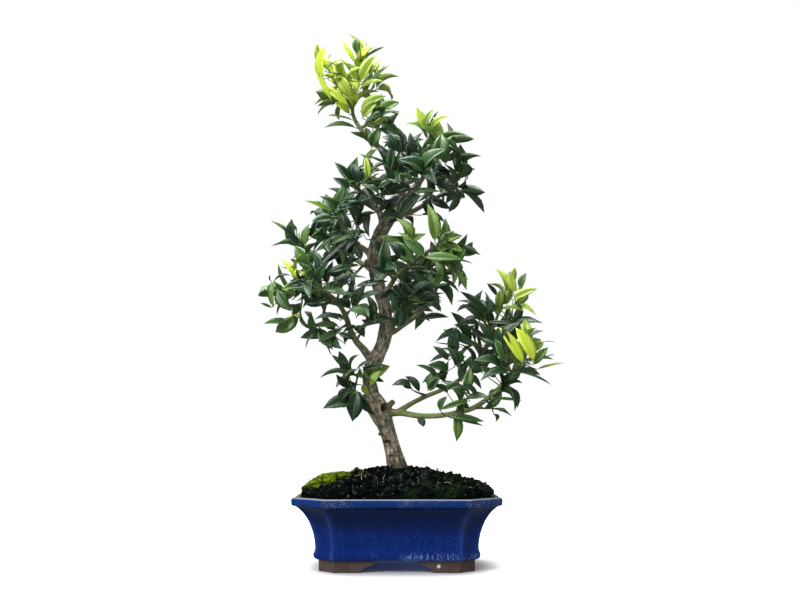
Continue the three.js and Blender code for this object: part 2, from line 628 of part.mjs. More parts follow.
// One leaf's place on its shoot: its root, the way it points, its upper side and its width's way.
function leafStand(curve, share, turn, opening, lift) {
  const root = pointOnTwig(curve, share);
  const along = curve.getTangent(share);
  const guide = Math.abs(along.z) > NEARLY_UPRIGHT ? new THREE.Vector3(0, 1, 0) : UP;
  const side = new THREE.Vector3().crossVectors(along, guide).normalize();
  const over = new THREE.Vector3().crossVectors(side, along);
  const radial = side.clone().multiplyScalar(Math.cos(turn)).addScaledVector(over, Math.sin(turn));
  const pointing = along.clone().multiplyScalar(Math.cos(opening)).addScaledVector(radial, Math.sin(opening));
  pointing.addScaledVector(UP, lift).normalize();
  const upper = along.clone().multiplyScalar(FACING_ALONG).addScaledVector(UP, FACING_UP);
  upper.add(lightAt(root));
  upper.addScaledVector(pointing, -upper.dot(pointing));
  if (upper.length() < LEAST_FACING) upper.crossVectors(side, pointing);
  upper.normalize();
  return { root, pointing, upper, width: new THREE.Vector3().crossVectors(upper, pointing) };
}

// A leaf blade: folded up along its midrib and thickest there, with a pointed tip that droops. It
// starts inside the twig, or further out for a test of the blade alone.
function leafSolid(stand, length, droop, slimness, grow = 0, from = 0) {
  const at = (share, sideways, rise) => {
    const point = stand.root.clone().addScaledVector(stand.pointing, length * share);
    const fall = -length * droop * share * share;
    const lift = fall + LEAF_FOLD * Math.abs(sideways) + rise;
    return point.addScaledVector(stand.upper, lift).addScaledVector(stand.width, sideways).toArray();
  };
  const wide = length * LEAF_HALF_WIDTH * slimness + grow;
  const narrow = length * LEAF_HALF_NARROW * slimness + grow;
  const rise = LEAF_THICKNESS / 2 + grow;
  const points = [
    at(from, 0, 0), at(LEAF_WIDE_AT, wide, 0), at(LEAF_NARROW_AT, narrow, 0), at(1 + grow / length, 0, 0),
    at(LEAF_NARROW_AT, -narrow, 0), at(LEAF_WIDE_AT, -wide, 0),
    at(LEAF_RIDGE_AT, 0, rise), at(LEAF_RIDGE_AT, 0, -rise),
  ];
  const faces = [0, 1, 2, 3, 4, 5].flatMap((i) => {
    const next = (i + 1) % 6;
    return [[6, next, i], [7, i, next]];
  });
  return solidOf(meshGeometry(points, faces));
}

// Everything that a leaf has to keep clear of, kept as solids with their boxes.
class Neighbours {
  constructor() {
    this.items = [];
  }

  add(solid, owner, isLeaf = false) {
    this.items.push({ solid, owner, isLeaf, box: solid.boundingBox() });
  }

  // Whether a solid meets one of the things that pass a test.
  blocks(solid, isTested) {
    const box = solid.boundingBox();
    return this.items.some((item) => {
      if (!isTested(item)) return false;
      const apart = [0, 1, 2].some((i) => box.max[i] < item.box.min[i] || item.box.max[i] < box.min[i]);
      return !apart && !item.solid.intersect(solid).isEmpty();
    });
  }
}

// The usual angle between leaf and shoot, wider on old shoots.
function openingAt(share, youth) {
  return FOOT_OPENING + OLD_SPREAD * (1 - youth) - TIP_CLOSING * share ** 2;
}

// A shoot's leaves, each turned or tilted until it is clear of the rest of the plant.
function growLeaves(shoot, neighbours) {
  const draws = new Draws(shoot.seed);
  const firstTurn = draws.between(0, 360);
  const leaves = [];
  for (let i = 0; i < shoot.leaves; i += 1) {
    const share = THREE.MathUtils.mapLinear(i, 0, shoot.leaves - 1, ...LEAF_PLACES);
    const turn = firstTurn + GOLDEN_TURN * i + draws.between(...TURN_RANGE);
    const opening = openingAt(share, shoot.youth) + draws.between(...OPENING_RANGE);
    const lift = draws.between(...LIFT_RANGE);
    const length = shoot.length * draws.between(...LENGTH_RANGE) * (1 - YOUNG_SHRINK * shoot.youth * share);
    const droop = draws.between(...DROOP_RANGE);
    const slimness = draws.between(...SLIMNESS_RANGE);
    for (const [moreTurn, moreOpening] of CLEAR_WAYS) {
      const stand = leafStand(
        shoot.curve, share,
        THREE.MathUtils.degToRad(turn + moreTurn),
        THREE.MathUtils.degToRad(opening + moreOpening), lift,
      );
      const shape = [stand, length, droop, slimness];
      const whole = leafSolid(...shape, LEAF_CLEARANCE);
      if (neighbours.blocks(whole, (item) => item.owner !== shoot.spray)) continue;
      const blade = leafSolid(...shape, LEAF_CLEARANCE / 2, CLEAR_OF_TWIGS);
      if (neighbours.blocks(blade, (item) => item.owner === shoot.spray && !item.isLeaf)) continue;
      const nearlyWhole = leafSolid(...shape, LEAF_CLEARANCE / 2, CLEAR_OF_LEAVES);
      if (neighbours.blocks(nearlyWhole, (item) => item.owner === shoot.spray && item.isLeaf)) continue;
      const leaf = leafSolid(...shape);
      neighbours.add(leaf, shoot.spray, true);
      leaves.push(leaf);
      break;
    }
  }
  return leaves;
}

// Each shoot's curve, twig and spur, worked out before any leaf.
function layOutShoots() {
  const curves = {};
  const sprayOf = {};
  return SHOOTS.map(([name, bearer, place, tipPoint, leaves, length, youth], i) => {
    const tip = new THREE.Vector3(...tipPoint);
    const { foot, direction, spur } = shootStart(bearer, place, tip, curves);
    const curve = shootCurve(foot, direction, tip);
    curves[name] = curve;
    sprayOf[name] = sprayOf[bearer] ?? name;
    return { name, spray: sprayOf[name], curve, spur, leaves, length, youth, seed: i + 1 };
  });
}

function makeTree(shoots) {
  const parts = [makeTube(LIMBS.trunk, TRUNK_SIDES, TRUNK_STEPS, trunkBark)];
  for (const [name, points] of Object.entries(LIMBS)) {
    if (name !== 'trunk') parts.push(makeTube(points, BRANCH_SIDES, 1));
  }
  for (const [place, tip, radius] of PRUNING_STUBS) {
    const { point } = placeOnLimb('trunk', place);
    parts.push(makeTube([[...point.toArray(), radius * STUB_FLARE], [...tip, radius]], BRANCH_SIDES, 1));
  }
  for (const { spur } of shoots) {
    if (spur) parts.push(makeTube(spur, TWIG_SIDES, 1));
  }
  return wasm.Manifold.union(parts);
}

function leafColour(youth) {
  return new THREE.Color(0x1d4423).lerp(new THREE.Color(0x9dbb3a), youth);
}

function addMesh(group, name, solid, color, roughness) {
  const mesh = new THREE.Mesh(
    geometryOf(solid),
    new THREE.MeshStandardMaterial({ color, roughness, metalness: 0 }),
  );
  mesh.name = name;
  group.add(mesh);
  return mesh;
}

function buildPottedSoil(solids) {
  const group = new THREE.Group();
  addMesh(group, 'pot', solids.pot, 0x10246e, 0.15);
  for (const [side, x] of [['left', -DRAIN_X], ['right', DRAIN_X]]) {
    const screen = addMesh(group, `drain_screen_${side}`, makeScreen(), 0x1c1c1c, 0.6);
    screen.position.set(x, 0, FLOOR_TOP + SEAT_GAP + SCREEN_THICKNESS / 2);
  }
  addMesh(group, 'soil', solids.soil, 0x17120e, 0.95);
  addMesh(group, 'moss', solids.moss, 0x47631a, 0.9);
  return group;
}

// The tree and its sprays, whose leaves keep clear of each other and of what stands under them.
function buildPlant(shoots, tree, neighbours) {
  const group = new THREE.Group();
  addMesh(group, 'tree', tree, 0x5b5042, 0.85);
  const sprays = new Map();
  for (const shoot of shoots) {
    const twig = makeTwig(shoot.curve);
    neighbours.add(twig, shoot.spray);
    if (!sprays.has(shoot.spray)) sprays.set(shoot.spray, { youth: shoot.youth, parts: [] });
    sprays.get(shoot.spray).parts.push(twig);
  }
  for (const shoot of shoots) {
    sprays.get(shoot.spray).parts.push(...growLeaves(shoot, neighbours));
  }
  for (const [name, { youth, parts }] of sprays) {
    addMesh(group, `spray_${name}`, wasm.Manifold.union(parts), leafColour(youth), 0.4);
  }
  return group;
}

function buildBonsai() {
  const shoots = layOutShoots();
  const tree = makeTree(shoots);
  const solids = { pot: makePot(), soil: makeSoil(), moss: makeMoss() };
  const neighbours = new Neighbours();
  neighbours.add(tree, 'tree');
  for (const [name, solid] of Object.entries(solids)) neighbours.add(solid, name);
  const bonsai = new THREE.Group();
  bonsai.add(buildPottedSoil(solids), buildPlant(shoots, tree, neighbours));
  const box = new THREE.Box3().setFromObject(bonsai);
  bonsai.position.set(-(box.min.x + box.max.x) / 2, -(box.min.y + box.max.y) / 2, -box.min.z);
  return bonsai;
}

export default buildBonsai();
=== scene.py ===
"""A myrtle-leaf orange bonsai in a glazed pot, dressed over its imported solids.

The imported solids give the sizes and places. This script repeats the rule by which the tree grew, finds
each leaf of the solids again and puts a finely shaped leaf there, and builds the glazed pot, the bark,
the moss and the crumbly soil over their solids. Plans are in millimetres from the middle of the pot's
footprint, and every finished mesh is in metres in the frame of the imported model.
"""
import logging
import math
from collections.abc import Sequence
from dataclasses import dataclass
from enum import Enum
from typing import Any

import bmesh
import bpy
import numpy as np
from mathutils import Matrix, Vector, kdtree, noise


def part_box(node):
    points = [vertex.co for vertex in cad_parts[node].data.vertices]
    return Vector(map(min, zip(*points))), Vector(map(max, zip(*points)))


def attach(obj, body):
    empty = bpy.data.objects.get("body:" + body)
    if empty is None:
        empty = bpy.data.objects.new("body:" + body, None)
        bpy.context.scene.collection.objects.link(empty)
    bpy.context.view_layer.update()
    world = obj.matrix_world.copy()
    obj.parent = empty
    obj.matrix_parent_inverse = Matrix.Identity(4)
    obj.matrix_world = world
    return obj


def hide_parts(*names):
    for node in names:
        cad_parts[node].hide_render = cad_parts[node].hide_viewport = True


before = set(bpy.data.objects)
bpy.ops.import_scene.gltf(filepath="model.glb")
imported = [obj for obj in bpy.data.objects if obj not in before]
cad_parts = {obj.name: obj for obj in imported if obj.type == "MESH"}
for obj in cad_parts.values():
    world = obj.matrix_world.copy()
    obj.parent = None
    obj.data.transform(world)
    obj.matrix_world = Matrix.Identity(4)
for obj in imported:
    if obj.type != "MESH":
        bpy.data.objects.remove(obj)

LOG = logging.getLogger("bonsai")
MM = 0.001
ROOT_BODY = "root"
UP = np.array([0.0, 0.0, 1.0])

# Trunk and branches: points (x, y, z, radius) in millimetres from the thick end to the thin one.
LIMBS: dict[str, list[tuple[float, float, float, float]]] = {
    "trunk": [
        (2, 0, 50, 13), (2, 0, 80, 12.2), (0, 0, 96, 10.4), (-4, 0, 112, 8.2), (-8, -1, 126, 7.4),
        (-12, -2, 138, 8.3), (-17, -3, 150, 10.6), (-22, -3, 160, 10), (-26, -2, 172, 7), (-28, 0, 187, 6.8),
        (-23, 2, 203, 7.6), (-16, 3, 217, 6.9), (-12, 3, 232, 7), (-11, 1, 246, 6.4), (-13, 0, 261, 6.6),
        (-18, 0, 277, 6.9), (-22, 2, 293, 7), (-24, 3, 311, 7), (-21, 3, 327, 7.2), (-15, 2, 341, 6.8),
        (-6, 0, 353, 5.8), (2, -2, 366, 4.8),
    ],
    "left_low": [
        (-24, 1, 201, 4.8), (-34, -1, 215, 4), (-42, -2, 224, 3.4), (-48, -4, 236, 3),
        (-52, -6, 248, 2.8), (-58, -8, 259, 2.5), (-66, -11, 268, 2.3), (-77, -14, 273, 2.1),
        (-90, -18, 273, 1.9),
    ],
    "right_low": [
        (-14, -3, 151, 5), (3, -8, 151, 3.4), (21, -14, 148, 2.9), (41, -20, 148, 2.7), (59, -26, 151, 2.6),
        (76, -30, 156, 2.7), (92, -30, 167, 2.4), (105, -28, 180, 2), (116, -26, 190, 1.8),
    ],
    "right_rise": [
        (0, -7, 151, 3.4), (14, -5, 160, 2.6), (30, 0, 168, 2.4), (47, 4, 175, 2.3), (64, 8, 185, 2.2),
        (78, 10, 198, 2), (90, 10, 216, 1.9), (98, 8, 236, 1.8), (106, 6, 256, 1.6),
    ],
    "mid_low": [
        (-11, 2, 231, 4), (-2, -2, 234, 2.7), (6, -6, 239, 2.2), (17, -12, 246, 2), (27, -16, 255, 1.8),
    ],
    "mid_right": [
        (-16, 0, 267, 4), (-8, -6, 279, 2.8), (0, -16, 289, 2.4), (12, -23, 299, 2.2),
        (25, -28, 307, 2), (36, -32, 315, 1.8),
    ],
    "mid_left": [
        (-23, 2, 308, 4.2), (-32, 2, 318, 3.2), (-43, 2, 326, 2.8), (-53, 2, 338, 2.4), (-61, 0, 350, 2),
    ],
    "upper_left": [
        (-14, 0, 342, 4.2), (-18, -6, 356, 3.3), (-25, -8, 365, 2.8), (-33, -10, 373, 2.4),
        (-41, -12, 381, 2),
    ],
    "leader": [
        (-1, -1, 360, 4.4), (4, 0, 380, 3.6), (4, 2, 397, 3.4), (-1, 2, 413, 3), (-12, 0, 423, 2.8),
        (-23, -2, 431, 2.6), (-34, -2, 442, 2.4), (-42, 0, 453, 2.2), (-47, 0, 466, 2), (-45, 0, 481, 1.7),
    ],
    "upper_right": [
        (1, -2, 363, 4.2), (12, -4, 376, 3.4), (23, -6, 388, 2.9), (31, -8, 401, 2.5), (36, -8, 416, 2.2),
        (38, -8, 431, 1.9),
    ],
    "far_right": [
        (-4, 0, 355, 4), (10, 6, 358, 3), (26, 10, 367, 2.6), (42, 12, 377, 2.3), (56, 12, 387, 1.9),
    ],
    "back_left": [
        (-22, 2, 294, 4), (-33, 24, 306, 3), (-45, 46, 316, 2.4), (-54, 66, 326, 1.9),
    ],
    "back_right": [
        (-14, 0, 266, 4), (-1, 22, 282, 3), (13, 44, 294, 2.4), (25, 62, 303, 1.9),
    ],
    "back_low": [
        (-16, 3, 216, 4), (-10, 22, 231, 2.9), (-3, 40, 245, 2.4), (3, 56, 256, 1.9),
    ],
    "back_top": [
        (2, -2, 365, 3.8), (7, 18, 386, 2.9), (12, 34, 406, 2.3), (14, 46, 424, 1.9),
    ],
}

# Healed pruning cuts: place on the trunk, tip, and end radius.
PRUNING_STUBS: list[tuple[float, tuple[float, float, float], float]] = [
    (6, (-4, -7, 162), 2.8),
    (7.5, (-36, -6, 167), 2.4),
    (13.6, (-2, -2, 256), 2.2),
    (4.2, (-18, -6, 130), 1.8),
    (16.4, (-33, -3, 303), 2.4),
]


@dataclass(frozen=True)
class Shoot:
    """A leafy shoot: its bearer, its place there, its tip, its leaves and its youth from 0 to 1."""

    name: str
    bearer: str
    place: float
    tip: tuple[float, float, float]
    leaves: int
    leaf_length: float
    youth: float


SHOOTS = [
    Shoot("top", "leader", 9, (-38, -4, 527), 10, 31, 0.9),
    Shoot("top_front", "top", 0.12, (-58, -30, 497), 6, 28, 0.85),
    Shoot("top_left", "leader", 8.2, (-75, -10, 514), 7, 31, 0.95),
    Shoot("top_back", "top_left", 0.15, (-63, 6, 480), 5, 29, 0.6),
    Shoot("top_right", "leader", 8.5, (-24, 14, 511), 6, 30, 0.7),
    Shoot("top_low_right", "leader", 6.6, (-18, -14, 454), 6, 31, 0.35),
    Shoot("top_neck", "top_low_right", 0.1, (-14, 18, 454), 4, 28, 0.3),
    Shoot("crest_up", "upper_right", 5, (31, -12, 444), 6, 28, 0.5),
    Shoot("crest_right", "crest_up", 0.15, (53, 8, 435), 5, 30, 0.2),
    Shoot("crest_bright", "upper_right", 3.8, (42, -27, 421), 6, 31, 0.45),
    Shoot("crest_left", "upper_right", 3, (7, -20, 419), 6, 30, 0.1),
    Shoot("crest_far", "far_right", 4, (66, -2, 408), 6, 32, 0.15),
    Shoot("crest_far_low", "crest_far", 0.15, (72, 22, 384), 5, 31, 0.1),
    Shoot("crest_front", "upper_right", 2, (27, -42, 390), 6, 33, 0.1),
    Shoot("crest_back", "back_top", 3, (-2, 54, 450), 5, 30, 0.25),
    Shoot("crest_back_right", "crest_back", 0.12, (44, 46, 398), 6, 31, 0.15),
    Shoot("crest_fold", "leader", 2, (-6, -36, 394), 6, 32, 0.1),
    Shoot("cap_tip", "upper_left", 4, (-44, -20, 386), 6, 28, 0.2),
    Shoot("cap_bright", "cap_tip", 0.12, (-29, -30, 391), 5, 26, 0.4),
    Shoot("cap_front", "upper_left", 1.6, (-10, -40, 376), 6, 32, 0.1),
    Shoot("cap_under", "upper_left", 3, (-48, 14, 377), 5, 30, 0.1),
    Shoot("shelf_tip", "mid_left", 4, (-63, -10, 354), 6, 31, 0.2),
    Shoot("shelf_back", "shelf_tip", 0.12, (-67, 28, 354), 5, 31, 0.1),
    Shoot("shelf_low", "mid_left", 3, (-71, -16, 328), 5, 31, 0.1),
    Shoot("shelf_front", "mid_left", 2, (-40, -27, 352), 6, 31, 0.1),
    Shoot("shelf_far_back", "back_left", 3, (-69, 92, 345), 5, 31, 0.15),
    Shoot("wing_tall", "left_low", 7, (-102, -14, 319), 7, 33, 0.3),
    Shoot("wing_back", "left_low", 6.2, (-78, 22, 310), 5, 31, 0.15),
    Shoot("wing_far", "left_low", 8, (-114, -22, 269), 6, 31, 0.35),
    Shoot("wing_yellow", "wing_far", 0.12, (-99, -38, 290), 5, 28, 0.75),
    Shoot("wing_low", "wing_far", 0.2, (-98, -18, 247), 5, 30, 0.3),
    Shoot("wing_front", "left_low", 6.6, (-80, -50, 276), 6, 32, 0.15),
    Shoot("wing_rise", "left_low", 5.4, (-54, -30, 296), 5, 31, 0.1),
    Shoot("wing_inner", "left_low", 4.2, (-40, -34, 259), 6, 30, 0.15),
    Shoot("wing_drop", "left_low", 3.4, (-71, -26, 229), 5, 31, 0.1),
    Shoot("wing_trunk", "left_low", 2, (-28, -28, 243), 4, 31, 0.1),
    Shoot("wing_rear", "left_low", 5, (-80, 24, 272), 5, 31, 0.1),
    Shoot("wing_rear_in", "back_left", 1.2, (-56, 40, 288), 4, 31, 0.1),
    Shoot("knee_left", "trunk", 9, (-48, -16, 190), 6, 26, 0.15),
    Shoot("knee_low", "knee_left", 0.3, (-43, -31, 166), 4, 32, 0.1),
    Shoot("knee_bright", "trunk", 8.6, (-24, -24, 184), 3, 25, 0.6),
    Shoot("arm_tip", "mid_right", 5, (43, -38, 315), 7, 32, 0.5),
    Shoot("arm_far", "arm_tip", 0.15, (59, -20, 309), 6, 30, 0.25),
    Shoot("arm_up", "mid_right", 3, (8, -38, 315), 5, 31, 0.5),
    Shoot("arm_long", "mid_right", 4, (55, -36, 295), 6, 33, 0.35),
    Shoot("arm_cross", "mid_right", 1.7, (-12, -46, 292), 5, 30, 0.1),
    Shoot("arm_low", "mid_right", 2.4, (42, -4, 288), 6, 32, 0.1),
    Shoot("arm_rear", "back_right", 3, (46, 80, 326), 5, 32, 0.2),
    Shoot("arm_rear_low", "arm_rear", 0.12, (36, 90, 292), 5, 31, 0.1),
    Shoot("elbow_tip", "mid_low", 4, (27, -24, 267), 6, 31, 0.1),
    Shoot("elbow_in", "mid_low", 2.4, (8, -32, 264), 4, 30, 0.1),
    Shoot("elbow_back", "mid_low", 3, (28, 16, 258), 5, 29, 0.1),
    Shoot("heel_back", "back_low", 3, (14, 80, 276), 5, 31, 0.15),
    Shoot("bough_top", "right_rise", 8, (114, 4, 282), 6, 29, 0.8),
    Shoot("bough_top_right", "bough_top", 0.12, (122, -2, 262), 4, 28, 0.75),
    Shoot("bough_left", "right_rise", 7, (83, 0, 251), 6, 30, 0.15),
    Shoot("bough_far_left", "right_rise", 6, (68, -4, 226), 6, 30, 0.1),
    Shoot("bough_right", "right_rise", 6.4, (117, -10, 243), 5, 32, 0.15),
    Shoot("bough_mid", "right_rise", 5, (59, -12, 210), 5, 31, 0.1),
    Shoot("bough_inner", "right_rise", 3.6, (40, -18, 187), 4, 27, 0.2),
    Shoot("bough_small", "right_rise", 2, (15, -14, 174), 2, 22, 0.1),
    Shoot("bough_bright", "right_low", 8, (128, -32, 216), 7, 36, 0.7),
    Shoot("bough_front", "right_low", 7, (101, -48, 209), 6, 33, 0.1),
    Shoot("bough_low_right", "right_low", 6, (105, -40, 175), 5, 28, 0.1),
    Shoot("bough_twig", "right_low", 5, (93, -36, 155), 3, 22, 0.2),
    Shoot("bough_under", "right_low", 4, (65, -50, 170), 4, 29, 0.3),
    Shoot("bough_leaf_under", "bough_under", 0.1, (59, -40, 149), 2, 28, 0.35),
    Shoot("bough_rear", "right_rise", 4.4, (98, 50, 222), 5, 31, 0.1),
    Shoot("bough_rear_low", "right_low", 6.6, (126, 14, 194), 5, 31, 0.15),
]

